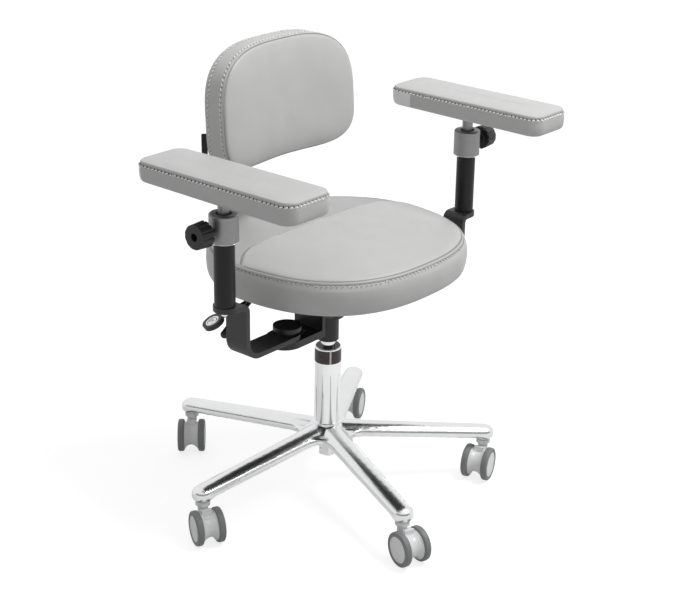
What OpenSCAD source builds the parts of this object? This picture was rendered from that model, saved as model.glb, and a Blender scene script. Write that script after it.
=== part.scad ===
// Laboratory chair with arms, standing on castors. Millimetres, +Z up.
// The origin is on the floor under the column. The sitter faces -Y and the sitter's right is -X.

/* [Star base] */
// distance from the column to each castor stem
stem_reach = 310; // [270:1:340]
// turn of the first arm of the base
base_turn = 102.5; // [90:0.5:125]
// half width of an arm of the base at its tip
arm_tip_half = 20; // [18:0.5:22]
// half width of an arm of the base at the hub
arm_root_half = 25; // [24.5:0.5:27]
// height of the underside of the stem boss
boss_z = 76; // [74:0.5:80]
// height of the underside of an arm at its tip
skirt_tip_z = 80; // [78:0.5:83]
// height of the underside of an arm at the hub
skirt_root_z = 102; // [98:0.5:104]
// height of the shoulder of the arm at its tip
shoulder_tip_z = 93; // [91:0.5:96]
// height of the shoulder of the arm at the hub
shoulder_root_z = 116; // [113:0.5:117]
// radius of the domed top at the tip of an arm
dome_tip_r = 26; // [25:0.1:27]
// radius of the domed top at the hub
dome_root_r = 27.5; // [27.2:0.1:28]
// depth of the dome centre line below the shoulder
dome_sink = 17; // [16.5:0.1:17.5]
// step from the skirt in to the dome
shoulder_step = 1.5; // [0.5:0.1:2.5]
// radius of the round between two arms
web_r = 20; // [18:1:36]
// radius of the level middle of the hub
hub_r = 47; // [45:1:52]
// depth of the middle of the hub below the arms
hub_drop = 6; // [4:0.5:8]
// radius of the neck of the hub
neck_r = 25.6; // [25.2:0.1:28]
// height of the top of the neck
neck_z = 130.6; // [128:0.1:136]
// radius of the hollow from the neck down to the arms
neck_fillet_r = 5; // [3:0.5:7]
// distance from the column to the inner end of the domed tops
dome_start = 12; // [10:1:15]
// wall of the hollow arms
arm_wall = 4; // [3:0.5:5]
// thickness left over the hollow
arm_roof = 4; // [3:0.5:5]
// start of the hollow, from the column
hollow_start = 62; // [56:1:80]
// end of the hollow, short of the stem
hollow_end_gap = 26; // [20:1:40]
// flat depth of the stem hole above the boss
stem_depth = 18; // [14:0.5:20]

/* [Gas lift] */
// outer diameter of the column
column_d = 50; // [46:0.5:51]
// wall of the column
column_wall = 3; // [2:0.5:5]
// height of the top of the column
column_top_z = 288; // [270:1:300]
// diameter of the spigot in the hub
spigot_d = 40; // [34:0.5:44]
// height of the foot of the spigot
spigot_z = 84; // [80:0.5:92]
// diameter of the piston rod
rod_d = 28; // [24:0.5:30]
// height of the foot of the rod
rod_foot_z = 152; // [140:1:160]
// height of the top of the rod
rod_top_z = 400; // [380:1:405]
// length of the guide bush below its rim
bush_length = 34; // [20:1:50]
// thickness of the rim of the bush
bush_rim = 3; // [2:0.5:5]
// inset of the rim from the outside of the column
bush_inset = 0.6; // [0.3:0.1:2]
// diameter of the cap under the hub
cap_d = 30; // [26:0.5:36]
// height of the foot of the cap
cap_z = 60; // [58:0.5:70]
// width across the flat of the cap
cap_flat = 24; // [20:0.5:26]
// diameter of the two pins of the cap
cap_pin_d = 3; // [2:0.5:4]
// distance of the pins of the cap from its middle
cap_pin_reach = 8; // [6:0.5:9]

/* [Castors] */
// wheel diameter
wheel_d = 65; // [60:1:68]
// wheel width
wheel_w = 12.5; // [11:0.5:15]
// gap from the middle of the castor to the inner face of a wheel
wheel_inner = 14; // [13:0.5:16]
// distance from the stem to the axle
trail = 25; // [18:0.5:28]
// height of the rubber over the rim
tread_h = 8; // [6:0.5:10]
// radius of the rounded corners of the tread
tread_round = 3.5; // [2:0.5:4.5]
// depth of the face of the rim below the tyre
rim_recess = 0.8; // [0.3:0.1:1.5]
// diameter of the axle
axle_d = 8; // [6:0.5:10]
// length of the axle left inside the rim face
axle_cover = 3; // [2:0.5:5]
// diameter of the castor stem
stem_d = 11; // [10:0.5:12]
// diameter of the collar on the castor housing
housing_collar_d = 27; // [22:0.5:30]
// height of the foot of the housing collar
housing_collar_foot_z = 66; // [64:0.5:68]
// height of the top of the housing collar
housing_collar_z = 73; // [70:0.5:74]
// diameter of the washer over the collar
housing_washer_d = 21; // [16:0.5:24]
// radius of the housing round the axle, beside the wheels
housing_r = 28; // [24:0.5:29]
// radius of the waist of the housing
housing_waist_r = 22; // [20:0.5:24]
// radius of the arch under the housing
arch_r = 11.5; // [9:0.5:12]
// height of the middle of the arch
arch_z = 9; // [7:0.5:11]
// width of the neck of the housing
housing_neck_w = 19; // [16:0.5:22]
// radius of the bridge between the neck and the housing, round the axle
housing_bridge_r = 32; // [30:0.5:33]
// directions in which the castors trail, one for each arm
castor_heading = [222, 243, 252, 197, 205]; // [0:1:360]

/* [Seat mechanism] */
// diameter of the sleeve over the rod
sleeve_d = 40; // [36:0.5:46]
// height of the foot of the sleeve
sleeve_z = 302; // [296:1:306]
// half width of the housing
mech_half_w = 80; // [70:1:84]
// front edge of the housing
mech_front_y = -62; // [-90:1:-50]
// rear edge of the housing
mech_rear_y = 118; // [112:1:125]
// height of the underside of the housing
mech_z = 380; // [376:1:382]
// radius of the boss under the housing
mech_boss_r = 30; // [27:1:34]
// height of the foot of the boss
mech_boss_z = 350; // [346:1:354]
// height of the underside of the seat board
board_z = 437; // [430:1:440]
// wall of the housing
mech_wall = 4; // [3:0.5:6]
// radius of the socket for the rod inside the housing
mech_socket_r = 26; // [22:0.5:30]
// position of the cross wall of the housing behind the column
mech_cross_y = 66; // [60:1:68]
// narrowing of the housing at its underside
mech_taper = 12; // [8:1:14]
// height of the flange plate on the housing
mech_plate_t = 6; // [4:0.5:8]
// how far the plate stands out past the housing
mech_plate_over = 10; // [6:1:14]
// thickness of the seat board
board_t = 12; // [9:0.5:14]
// inset of the board from the edge of the cushion
board_inset = 36; // [30:1:50]

/* [Back hinge] */
// distance of the back hinge behind the column
back_hinge_y = 105; // [100:1:106]
// height of the back hinge
back_hinge_z = 395; // [385:1:400]
// diameter of the back hinge pin
back_pin_d = 12; // [10:0.5:14]
// radius of the barrel on the back bar
barrel_r = 12; // [11:0.5:13]

/* [Levers] */
// diameter of a lever rod
lever_rod_d = 8; // [6:0.5:10]
// distance of the lever pivots from the middle of the chair
lever_pivot_x = 92; // [90:0.5:96]
// diameter of the lever pivot pins
lever_pin_d = 5; // [4:0.5:6]
// radius of the eye of a lever
lever_eye_r = 6.5; // [6:0.5:8]
// width of the eye of a lever
lever_eye_w = 6; // [5:0.5:8]
// thickness of the lugs beside the eye
lever_lug_t = 4; // [3:0.5:5]
// position of the height lever behind the column
height_lever_y = 99; // [95:1:102]
// height of the pivot of the height lever
height_lever_z = 388; // [384:1:392]
// slope of the height lever below level
height_lever_slope = 9; // [5:1:12]
// distance of the middle of the paddle from the middle of the chair
paddle_x = 206; // [190:1:215]
// length of the paddle
paddle_l = 46; // [40:1:52]
// width of the paddle
paddle_w = 38; // [32:1:42]
// thickness of the paddle
paddle_t = 9; // [7:0.5:12]
// tilt of the paddle down toward its outer edge
paddle_tilt = 28; // [20:1:34]
// tilt of the paddle down toward the rear
paddle_roll = 18; // [10:1:24]
// size of the round disc let into the paddle, as a share of its width and length
paddle_disc_share = 0.72; // [0.6:0.01:0.8]
// depth of the seat of the disc
paddle_disc_depth = 1; // [0.5:0.1:2]
// position of the tilt lever behind the column
tilt_lever_y = 77; // [70:1:80]
// height of the pivot of the tilt lever
tilt_lever_z = 420; // [418:1:422]
// slope of the tilt lever below level
tilt_lever_slope = 33; // [29:1:34]
// distance of the end of the tilt lever from the middle of the chair
tilt_lever_x = 205; // [190:1:215]
// length of the grip of the tilt lever
tilt_grip_l = 36; // [30:1:44]
// diameter of the grip of the tilt lever
tilt_grip_d = 15; // [12:0.5:18]

/* [Arm carriers] */
// distance of the outer face of the leg from the middle
carrier_leg_x = 115; // [110:1:118]
// thickness of the carrier
carrier_t = 14; // [8:0.5:15]
// thickness of the leg of the carrier
carrier_leg_t = 7; // [5:0.5:9]
// thickness of the flange under the board
carrier_flange_t = 6; // [5:0.5:8]
// width of the carrier
carrier_w = 67; // [60:1:72]
// middle of the carrier, front to back
carrier_y = -51.5; // [-54:0.5:-49]
// distance of the tip of the carrier from the middle
carrier_tip_x = 211; // [200:1:214]
// distance of the outer edge of the flange from the middle
carrier_flange_x = 150; // [140:1:165]
// height of the upper face of the lower limb
carrier_top_z = 379; // [377:0.5:382]
// width of the slot
slot_w = 10.1; // [10.1:0.1:10.2]
// length of the slot inward of the bolt
slot_in = 42; // [40:1:44]

/* [Arm straps] */
// distance of the arm tubes from the middle of the chair
arm_x = 335; // [325:1:345]
// position of the arm tubes, front to back
arm_y = -60; // [-62:1:-58]
// width of the strap
strap_w = 48; // [44:1:50]
// thickness of the strap
strap_t = 9; // [7:0.5:10]
// distance of the clamp bolt from the middle of the chair
bolt_x = 181; // [178:1:182]
// distance of the inner face of the upright from the middle of the chair
strap_upright_x = 300; // [295:1:303]
// inner radius of the lower bend
strap_low_bend = 24; // [18:1:28]
// inner radius of the upper bend
strap_high_bend = 7; // [5:1:10]
// height of the upper face of the strap under the tube
strap_top_z = 487; // [480:1:490]
// inset of the round end of the strap from the tube
strap_end_inset = 5; // [3:0.5:8]
// diameter of the clamp bolt
bolt_d = 10; // [9.9:0.1:10]
// width across the head of the clamp bolt
bolt_head_d = 19; // [17:0.5:22]
// height of the head of the clamp bolt
bolt_head_h = 7; // [5:0.5:9]
// diameter of the disc knob
disc_knob_d = 51; // [44:0.5:53]
// thickness of the disc
disc_knob_t = 8; // [6:0.5:10]
// diameter of the neck under the disc
disc_neck_d = 35; // [30:0.5:38]
// height of the neck under the disc
disc_neck_h = 7; // [5:0.5:9]
// depth of the bolt in the disc knob
bolt_in_knob = 11; // [9:0.5:12]

/* [Arm uprights] */
// outer diameter of the arm tube
tube_d = 36; // [34:0.5:38]
// wall of the arm tube
tube_wall = 3; // [2.5:0.5:5]
// height of the foot of the collar
collar_z = 600; // [595:1:605]
// height of the top of the collar
collar_top_z = 650; // [645:1:655]
// outer diameter of the collar
collar_d = 50; // [48:0.5:52]
// depth of the socket for the tube
collar_socket = 16; // [14:0.5:18]
// diameter of the wide mouth at the top of the collar
mouth_d = 28; // [26:0.5:32]
// depth of the mouth
mouth_depth = 6; // [4:0.5:8]
// bevel on the edges of the collar
collar_bevel = 2; // [1:0.1:2.5]
// diameter of the post
post_d = 20; // [19:0.5:21]
// height of the foot of the post
post_foot_z = 545; // [540:1:550]
// height of the side knob
knob_z = 625; // [622:0.5:628]
// diameter of the side knob
knob_d = 45; // [40:0.5:46]
// length of the side knob
knob_l = 30; // [26:0.5:32]
// gap from the collar to the side knob
knob_stand = 13; // [10:0.5:15]
// number of ribs round the side knob
knob_ribs = 12; // [10:1:16]
// radius of the grooves between the ribs
knob_groove_r = 2.2; // [1.5:0.1:3]
// length of the plain neck behind the ribs
knob_back_l = 5; // [3:0.5:8]
// diameter of the side knob at its end face
knob_face_d = 42; // [38:0.5:44]
// diameter of the neck of the side knob
knob_neck_d = 26; // [22:0.5:30]
// diameter of the hole in the end of the side knob
knob_hole_d = 14; // [12:0.5:18]
// depth of the hole in the end of the side knob
knob_hole_depth = 12; // [8:0.5:16]
// diameter of the screw of the side knob
knob_screw_d = 8; // [7:0.5:9]

/* [Arm pads] */
// length of an arm pad
pad_l = 344; // [320:1:360]
// width of an arm pad
pad_w = 106; // [98:1:114]
// height of the underside of an arm pad
pad_z = 685; // [684:1:690]
// height of the side of an arm pad up to its seam
pad_side = 28; // [24:0.5:32]
// crown of an arm pad over its seam
pad_crown = 10; // [6:0.5:12]
// middle of an arm pad, front to back
pad_y = -79; // [-84:1:-74]
// corner radius of an arm pad
pad_corner = 20; // [16:1:26]
// bulge of the side of an arm pad
pad_bulge = 2; // [1:0.1:3]
// length of the plate under the pad
plate_l = 150; // [120:1:180]
// width of the plate under the pad
plate_w = 56; // [46:1:66]
// thickness of the plate under the pad
plate_t = 3; // [2.5:0.5:4]
// diameter of the pivot under the plate
pivot_d = 12; // [10:0.5:13]
// length of the pivot under the plate
pivot_l = 22; // [16:1:28]

/* [Seat cushion] */
// half width of the seat at its seam
seat_half_w = 230; // [215:1:240]
// widest place of the seat, behind the column
seat_mid_y = 6; // [0:1:12]
// reach of the seat forward of its widest place
seat_front = 233; // [220:1:245]
// reach of the seat behind its widest place
seat_rear = 209; // [200:1:216]
// roundness of the front of the seat
seat_front_power = 2.5; // [2.2:0.05:2.9]
// roundness of the rear of the seat
seat_rear_power = 1.8; // [1.7:0.05:2.1]
// height of the side band of the seat up to its seam
seat_band = 60; // [54:1:66]
// bulge of the side band
seat_bulge = 10.6; // [7:0.2:12]
// how far the foot of the band stands out from the seam
seat_foot_out = 5; // [2:0.5:7]
// crown of the front of the seat over its seam
seat_crown = 13; // [9:0.5:16]
// drop of the rear panel below the front panel
seat_step = 1; // [0.5:0.5:4]
// depth of the sewn channel between the panels
seat_channel = 4; // [2:0.5:5]
// half width of the sewn channel
channel_half_w = 20; // [12:1:24]
// share of the crown at which the sewn channel has its full depth
channel_full_share = 0.5; // [0.4:0.05:0.7]
// position of the sewn channel behind the column
seat_seam_y = 38; // [30:1:44]
// position of the ends of the channel behind the column
seat_seam_end_y = 4; // [-5:1:5]
// how suddenly the ends of the channel turn forward
seat_seam_power = 8; // [4:0.5:10]

/* [Back cushion] */
// half width of the back
back_half_w = 175; // [160:1:185]
// height of the widest place of the back
back_mid_z = 719; // [710:1:725]
// reach of the back above its widest place
back_up = 136; // [125:1:145]
// reach of the back below its widest place
back_down = 93; // [86:1:96]
// roundness of the upper half of the back
back_up_power = 2.8; // [2.5:0.05:3.2]
// roundness of the lower half of the back
back_down_power = 4.4; // [3.6:0.1:5]
// distance of the front seam of the back behind the column
back_y = 111; // [106:1:116]
// lean of the back
back_lean = 4; // [2:0.5:6]
// thickness of the back between its seams
back_t = 44; // [40:1:50]
// forward reach of the sides of the back
back_wrap = 18; // [14:1:22]
// crown of the front of the back
back_crown = 12; // [8:0.5:16]
// bulge of the side band of the back
back_bulge = 2; // [1:0.2:4]
// rise of the middle of the lower edge
back_rise = 5; // [2:0.5:8]

/* [Back bar] */
// width of the back bar
bar_w = 44; // [40:1:46]
// thickness of the back bar
bar_t = 8; // [7:0.5:9]
// distance of the upright of the bar behind the column
bar_rear_y = 246; // [244:1:250]
// height of the first bend of the bar, along the upright
bar_knee_z = 610; // [600:1:615]
// radius of the bends of the bar
bar_bend_r = 34; // [28:1:40]
// height of the foot of the straight top of the bar, below the middle of the back
bar_straight_down = 18; // [15:1:22]
// height of the top of the bar, above the middle of the back
bar_top_up = 100; // [95:1:104]
// depth of the slider from the cushion
slider_depth = 26; // [24:0.5:28]
// width of the slider
slider_w = 66; // [62:1:80]
// height of the slider
slider_h = 70; // [60:1:74]
// height of the middle of the slider above the middle of the back
slider_up = 48; // [46:1:52]
// distance of the bar from the face of the slider on the cushion
slider_bar_gap = 9; // [8:0.5:10]
// diameter of the back knob
back_knob_d = 38; // [34:0.5:42]
// length of the back knob
back_knob_l = 22; // [18:0.5:26]
// diameter of the screw of the back knob
back_screw_d = 8; // [7:0.5:9]

/* [Fits] */
// radial gap of turning and sliding fits
running_gap = 0.05; // [0.03:0.01:0.08]
// gap between faces that slide past each other
slip_gap = 0.3; // [0.2:0.05:0.4]

/* [Hidden] */
arm_count = 5;
arm_step = 360 / arm_count;
smooth = 64;
fine = 32;
hexagon = 6;
rear_steps = 26;
front_steps = 28;
seam_pinch = 3;
pad_corner_steps = 7;
back_steps = 72;
strap_low_z = carrier_top_z + slip_gap;
strap_low_top_z = strap_low_z + strap_t;
disc_neck_z = strap_low_top_z + slip_gap;
disc_z = disc_neck_z + disc_neck_h;
bolt_top_z = disc_neck_z + bolt_in_knob;
bolt_head_top_z = carrier_top_z - carrier_t - slip_gap;
tube_end_z = collar_z + collar_socket;
plate_z = pad_z - plate_t;
post_top_z = plate_z - slip_gap;
seat_z = board_z + board_t;
seat_seam_z = seat_z + seat_band;
column_top_in_z = column_top_z - bush_rim;
bar_depth = back_t + back_crown / 2 + slider_bar_gap;
knob_face_x = arm_x + collar_d / 2 + knob_stand;
axle_z = wheel_d / 2;
rim_r = axle_z - tread_h;
wheel_outer = wheel_inner + wheel_w;

// Shared shapes

// points of an arc round c, from angle a to angle b
function arc_points(c, r, a, b, steps = 8) =
    [for (i = [0:steps]) let (t = a + (b - a) * i / steps) c + r * [cos(t), sin(t)]];

// unit normal of the step from p to q
function step_normal(p, q) = let (d = q - p) [-d[1], d[0]] / norm(d);

// normal at point i of a path
function path_normal(path, i) =
    let (last = len(path) - 1)
    let (before = step_normal(path[max(i - 1, 0)], path[max(i, 1)]))
    let (after = step_normal(path[min(i, last - 1)], path[min(i + 1, last)]))
    let (sum = before + after)
    sum / norm(sum) / cos(acos(min(1, before * after)) / 2);

// closed outline of a bar of thickness t whose middle follows the path
function strip_outline(path, t) =
    let (last = len(path) - 1)
    concat(
        [for (i = [0:last]) path[i] + path_normal(path, i) * t / 2],
        [for (i = [last:-1:0]) path[i] - path_normal(path, i) * t / 2]
    );

// point on a rounded outline with its own reach and power above and below its widest line
function round_point(t, half, up, down, up_power, down_power) =
    let (c = cos(t))
    let (s = sin(t))
    let (p = s > 0 ? up_power : down_power)
    let (reach = s > 0 ? up : down)
    let (r = pow(pow(abs(c), p) + pow(abs(s), p), -1 / p))
    [half * r * c, reach * r * s];

// unit vector at angle t
function heading(t) = [cos(t), sin(t)];

// faces of a closed form made of rings of n points, with a middle point at each end
function ring_faces(rings, n) = concat(
    [for (j = [0:n - 1]) [0, 1 + (j + 1) % n, 1 + j]],
    [for (k = [0:rings - 2]) for (j = [0:n - 1])
        [1 + k * n + j, 1 + k * n + (j + 1) % n, 1 + (k + 1) * n + (j + 1) % n]],
    [for (k = [0:rings - 2]) for (j = [0:n - 1])
        [1 + k * n + j, 1 + (k + 1) * n + (j + 1) % n, 1 + (k + 1) * n + j]],
    [for (j = [0:n - 1]) [rings * n + 1, 1 + (rings - 1) * n + j, 1 + (rings - 1) * n + (j + 1) % n]]
);

// pieces of the sitter's left are mirrored from those of the right
module on_side(left) {
    if (left) {
        mirror([1, 0, 0]) children();
    } else {
        children();
    }
}

// turns a profile drawn as depth and height into the Y and Z directions, width along X
module across(width) {
    translate([-width / 2, 0, 0]) rotate([90, 0, 90]) linear_extrude(width) children();
}

// turns a profile drawn as X and height, width along Y
module along_y(width, middle) {
    translate([0, middle + width / 2, 0]) rotate([90, 0, 0]) linear_extrude(width) children();
}

// lies a cylinder along X, starting at x
module rod_x(x, length, r) {
    translate([x, 0, 0]) rotate([0, 90, 0]) cylinder(h = length, r = r, $fn = smooth);
}

// Star base

module arm_plan(inset) {
    polygon([
        [0, -arm_root_half + inset],
        [stem_reach, -arm_tip_half + inset],
        [stem_reach, arm_tip_half - inset],
        [0, arm_root_half - inset]
    ]);
    translate([stem_reach, 0]) circle(r = arm_tip_half - inset, $fn = smooth);
}

// fills the corner between two arms up to a round of radius web_r
module web_plan() {
    reach = arm_root_half + web_r;
    along = reach / tan(arm_step / 2);
    middle = reach / sin(arm_step / 2);
    difference() {
        polygon([[0, 0], [along, 0], middle * heading(arm_step / 2), along * heading(arm_step)]);
        translate(middle * heading(arm_step / 2)) circle(r = web_r, $fn = smooth);
    }
}

module star_plan() {
    circle(r = hub_r, $fn = smooth);
    for (k = [0:arm_count - 1]) rotate(base_turn + k * arm_step) {
        arm_plan(0);
        web_plan();
    }
}

// solid of revolution between the undersides and the shoulders of the arms, which rise to the hub
module rising_zone(bottom_lift, top_lift) {
    outer = stem_reach + 2 * arm_tip_half;
    rotate_extrude($fn = smooth) polygon([
        [0, skirt_root_z + bottom_lift],
        [hub_r, skirt_root_z + bottom_lift],
        [stem_reach, skirt_tip_z + bottom_lift],
        [outer, skirt_tip_z + bottom_lift],
        [outer, shoulder_tip_z + top_lift],
        [stem_reach, shoulder_tip_z + top_lift],
        [hub_r, shoulder_root_z + top_lift],
        [0, shoulder_root_z + top_lift]
    ]);
}

// domed top of one arm along +X, from inside the neck to the round tip
module arm_dome() {
    fall = atan((shoulder_root_z - shoulder_tip_z) / (stem_reach - hub_r));
    length = (stem_reach - dome_start) / cos(fall);
    skirt = shoulder_tip_z - skirt_tip_z;
    intersection() {
        linear_extrude(2 * neck_z) arm_plan(shoulder_step);
        translate([stem_reach, 0, shoulder_tip_z - dome_sink]) rotate([0, fall - 90, 0])
            rotate_extrude($fn = smooth) polygon(concat(
                arc_points([0, 0], dome_tip_r, -90, 0, 12),
                [[dome_root_r, length], [0, length]]
            ));
        rising_zone(skirt / 2, dome_root_r);
    }
}

// neck of the hub with a hollow down to the shoulders
module hub_neck() {
    corner = [neck_r + neck_fillet_r, shoulder_root_z + neck_fillet_r];
    foot = (skirt_root_z + shoulder_root_z) / 2;
    rotate_extrude($fn = smooth) polygon(concat(
        [[0, foot], [corner[0], foot]],
        arc_points(corner, neck_fillet_r, 270, 180),
        [[neck_r, neck_z], [0, neck_z]]
    ));
}

module arm_hollow() {
    end = stem_reach - hollow_end_gap;
    near = hollow_start / 2;
    intersection() {
        linear_extrude(shoulder_root_z) polygon([
            [hollow_start, -arm_root_half + 2 * arm_wall],
            [end, -arm_tip_half + arm_wall],
            [end, arm_tip_half - arm_wall],
            [hollow_start, arm_root_half - 2 * arm_wall]
        ]);
        rotate_extrude($fn = smooth) polygon([
            [near, boss_z],
            [stem_reach, boss_z],
            [stem_reach, shoulder_tip_z - arm_roof],
            [near, shoulder_root_z - arm_roof]
        ]);
    }
}

module star_base() {
    color([0.86, 0.87, 0.88]) difference() {
        union() {
            intersection() {
                linear_extrude(neck_z) star_plan();
                rising_zone(0, 0);
            }
            hub_neck();
            translate([0, 0, skirt_root_z - hub_drop])
                cylinder(h = 2 * hub_drop, r = hub_r - shoulder_step, $fn = smooth);
            for (k = [0:arm_count - 1]) rotate(base_turn + k * arm_step) {
                arm_dome();
                translate([stem_reach, 0, boss_z]) cylinder(
                    h = skirt_tip_z + shoulder_step - boss_z,
                    r = arm_tip_half - shoulder_step,
                    $fn = smooth
                );
            }
        }
        for (k = [0:arm_count - 1]) rotate(base_turn + k * arm_step) {
            arm_hollow();
            translate([stem_reach, 0, 0])
                cylinder(h = boss_z + stem_depth, r = stem_d / 2 + running_gap, $fn = smooth);
        }
        cylinder(h = neck_z + neck_r, r = spigot_d / 2, $fn = smooth);
    }
}

// Gas lift

module column_tube() {
    bore_r = column_d / 2 - column_wall;
    color([0.9, 0.91, 0.92]) difference() {
        union() {
            translate([0, 0, neck_z])
                cylinder(h = column_top_in_z - neck_z, r = column_d / 2, $fn = smooth);
            translate([0, 0, spigot_z]) cylinder(h = neck_z - spigot_z, r = spigot_d / 2, $fn = smooth);
        }
        translate([0, 0, neck_z]) cylinder(h = column_top_z, r = bore_r, $fn = smooth);
    }
}

module column_bush() {
    bore_r = column_d / 2 - column_wall;
    color([0.08, 0.08, 0.09]) difference() {
        union() {
            translate([0, 0, column_top_in_z - bush_length])
                cylinder(h = bush_length, r = bore_r, $fn = smooth);
            translate([0, 0, column_top_in_z])
                cylinder(h = bush_rim, r = column_d / 2 - bush_inset, $fn = smooth);
        }
        cylinder(h = column_top_z + bush_rim, r = rod_d / 2 + running_gap, $fn = smooth);
    }
}

module hub_cap() {
    height = spigot_z - cap_z;
    color([0.8, 0.81, 0.82]) rotate(base_turn) {
        intersection() {
            translate([0, 0, cap_z]) cylinder(h = height, r = cap_d / 2, $fn = smooth);
            translate([-cap_d / 2, -cap_flat / 2, cap_z]) cube([cap_d, cap_flat, height]);
        }
        for (s = [-1, 1]) translate([s * cap_pin_reach, 0, cap_z + height / 2]) rotate([90, 0, 0])
            cylinder(h = cap_flat + cap_pin_d, r = cap_pin_d / 2, center = true, $fn = fine);
    }
}

module piston_rod() {
    color([0.92, 0.92, 0.93]) translate([0, 0, rod_foot_z])
        cylinder(h = rod_top_z - rod_foot_z, r = rod_d / 2, $fn = smooth);
}

// Seat mechanism

module rod_sleeve() {
    color([0.1, 0.1, 0.11]) difference() {
        translate([0, 0, sleeve_z]) cylinder(h = mech_boss_z - sleeve_z, r = sleeve_d / 2, $fn = smooth);
        cylinder(h = mech_z + sleeve_d, r = rod_d / 2 + running_gap, $fn = smooth);
    }
}

// section of the housing across the chair, shrunk by the inset
module mechanism_section(inset) {
    half = mech_half_w - inset;
    polygon([
        [-half + mech_taper, mech_z + inset],
        [half - mech_taper, mech_z + inset],
        [half, mech_z + 2 * mech_taper],
        [half, board_z],
        [-half, board_z],
        [-half, mech_z + 2 * mech_taper]
    ]);
}

// pressed housing, open under the seat board in front of the cross wall
module mechanism_body() {
    depth = mech_rear_y - mech_front_y;
    difference() {
        translate([0, mech_rear_y, 0]) rotate([90, 0, 0]) linear_extrude(depth) mechanism_section(0);
        translate([0, mech_cross_y, 0]) rotate([90, 0, 0])
            linear_extrude(mech_cross_y - mech_front_y - mech_wall) mechanism_section(mech_wall);
    }
    translate([0, 0, mech_z]) cylinder(h = rod_top_z + mech_wall - mech_z, r = mech_socket_r, $fn = smooth);
    translate([0, 0, mech_boss_z]) cylinder(h = mech_z - mech_boss_z, r = mech_boss_r, $fn = smooth);
    translate([-mech_half_w - mech_plate_over, mech_front_y - mech_plate_over, board_z - mech_plate_t])
        difference() {
            cube([2 * (mech_half_w + mech_plate_over), depth + mech_plate_over, mech_plate_t]);
            translate([mech_plate_over + mech_wall, mech_plate_over + mech_wall, 0]) cube([
                2 * (mech_half_w - mech_wall),
                mech_cross_y - mech_front_y - mech_wall,
                2 * mech_plate_t
            ]);
        }
}

// a pair of lugs with their pin, for a lever that pivots at y and z
module lever_lugs(y, z) {
    pitch = lever_eye_w / 2 + slip_gap;
    for (s = [-1, 1]) translate([-mech_half_w, y + s * (pitch + lever_lug_t / 2), z]) rotate([90, 0, 0])
        translate([0, 0, -lever_lug_t / 2]) linear_extrude(lever_lug_t) {
            translate([-(lever_pivot_x - mech_half_w), 0]) circle(r = lever_eye_r, $fn = fine);
            translate([-(lever_pivot_x - mech_half_w), -lever_eye_r])
                square([lever_pivot_x - mech_half_w + mech_taper, 2 * lever_eye_r]);
        }
    translate([-lever_pivot_x, y, z]) rotate([90, 0, 0])
        cylinder(h = 2 * (pitch + lever_lug_t), r = lever_pin_d / 2, center = true, $fn = fine);
}

module seat_mechanism() {
    slot_half = bar_w / 2 + slip_gap;
    color([0.12, 0.12, 0.13]) {
        difference() {
            mechanism_body();
            cylinder(h = rod_top_z + slip_gap, r = rod_d / 2 + running_gap, $fn = smooth);
            translate([-slot_half, back_hinge_y - 2 * barrel_r, mech_z - barrel_r])
                cube([2 * slot_half, 4 * barrel_r, board_z - mech_plate_t - mech_z + barrel_r]);
        }
        translate([-slot_half, back_hinge_y, back_hinge_z]) rod_x(0, 2 * slot_half, back_pin_d / 2);
        lever_lugs(height_lever_y, height_lever_z);
        lever_lugs(tilt_lever_y, tilt_lever_z);
    }
}

module seat_board() {
    points = [for (i = [0:smooth - 1]) seat_outline(i * 360 / smooth, -board_inset)];
    color([0.16, 0.15, 0.14]) translate([0, 0, board_z]) linear_extrude(board_t) polygon(points);
}

module carrier(left) {
    limb_z = carrier_top_z - carrier_t;
    inner_x = carrier_leg_x - carrier_leg_t;
    round_x = carrier_tip_x - carrier_w / 2;
    on_side(left) difference() {
        intersection() {
            along_y(carrier_w, carrier_y) union() {
                translate([-carrier_tip_x, limb_z]) square([carrier_tip_x - inner_x, carrier_t]);
                translate([-carrier_leg_x, limb_z]) square([carrier_leg_t, board_z - limb_z]);
                translate([-carrier_flange_x, board_z - carrier_flange_t])
                    square([carrier_flange_x - inner_x, carrier_flange_t]);
            }
            translate([0, carrier_y, 0]) linear_extrude(board_z) union() {
                translate([-round_x, 0]) circle(r = carrier_w / 2, $fn = smooth);
                translate([-round_x, -carrier_w / 2]) square([round_x, carrier_w]);
            }
        }
        translate([0, arm_y, limb_z - carrier_t]) linear_extrude(3 * carrier_t) union() {
            translate([-bolt_x, 0]) circle(r = slot_w / 2, $fn = smooth);
            translate([-bolt_x + slot_in, 0]) circle(r = slot_w / 2, $fn = smooth);
            translate([-bolt_x, -slot_w / 2]) square([slot_in, slot_w]);
        }
    }
}

module arm_carriers() {
    color([0.13, 0.13, 0.14]) {
        carrier(false);
        carrier(true);
    }
}

// Levers

module lever_shank(length) {
    rotate([90, 0, 0]) difference() {
        cylinder(h = lever_eye_w, r = lever_eye_r, center = true, $fn = fine);
        cylinder(h = 2 * lever_eye_w, r = lever_pin_d / 2 + running_gap, center = true, $fn = fine);
    }
    difference() {
        rod_x(-length, length, lever_rod_d / 2);
        rotate([90, 0, 0]) cylinder(h = 2 * lever_eye_w, r = lever_eye_r, center = true, $fn = fine);
    }
}

module height_lever() {
    reach = paddle_x - lever_pivot_x;
    color([0.1, 0.1, 0.11]) translate([-lever_pivot_x, height_lever_y, height_lever_z])
        rotate([0, -height_lever_slope, 0]) {
            lever_shank(reach);
            translate([-reach, 0, 0]) rotate([-paddle_roll, height_lever_slope - paddle_tilt, 0])
                scale([paddle_w / paddle_l, 1, 1]) difference() {
                    cylinder(h = paddle_t, r = paddle_l / 2, center = true, $fn = smooth);
                    translate([0, 0, paddle_t / 2 - paddle_disc_depth])
                        cylinder(h = paddle_t, r = paddle_disc_share * paddle_l / 2, $fn = smooth);
                }
        }
}

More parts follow.
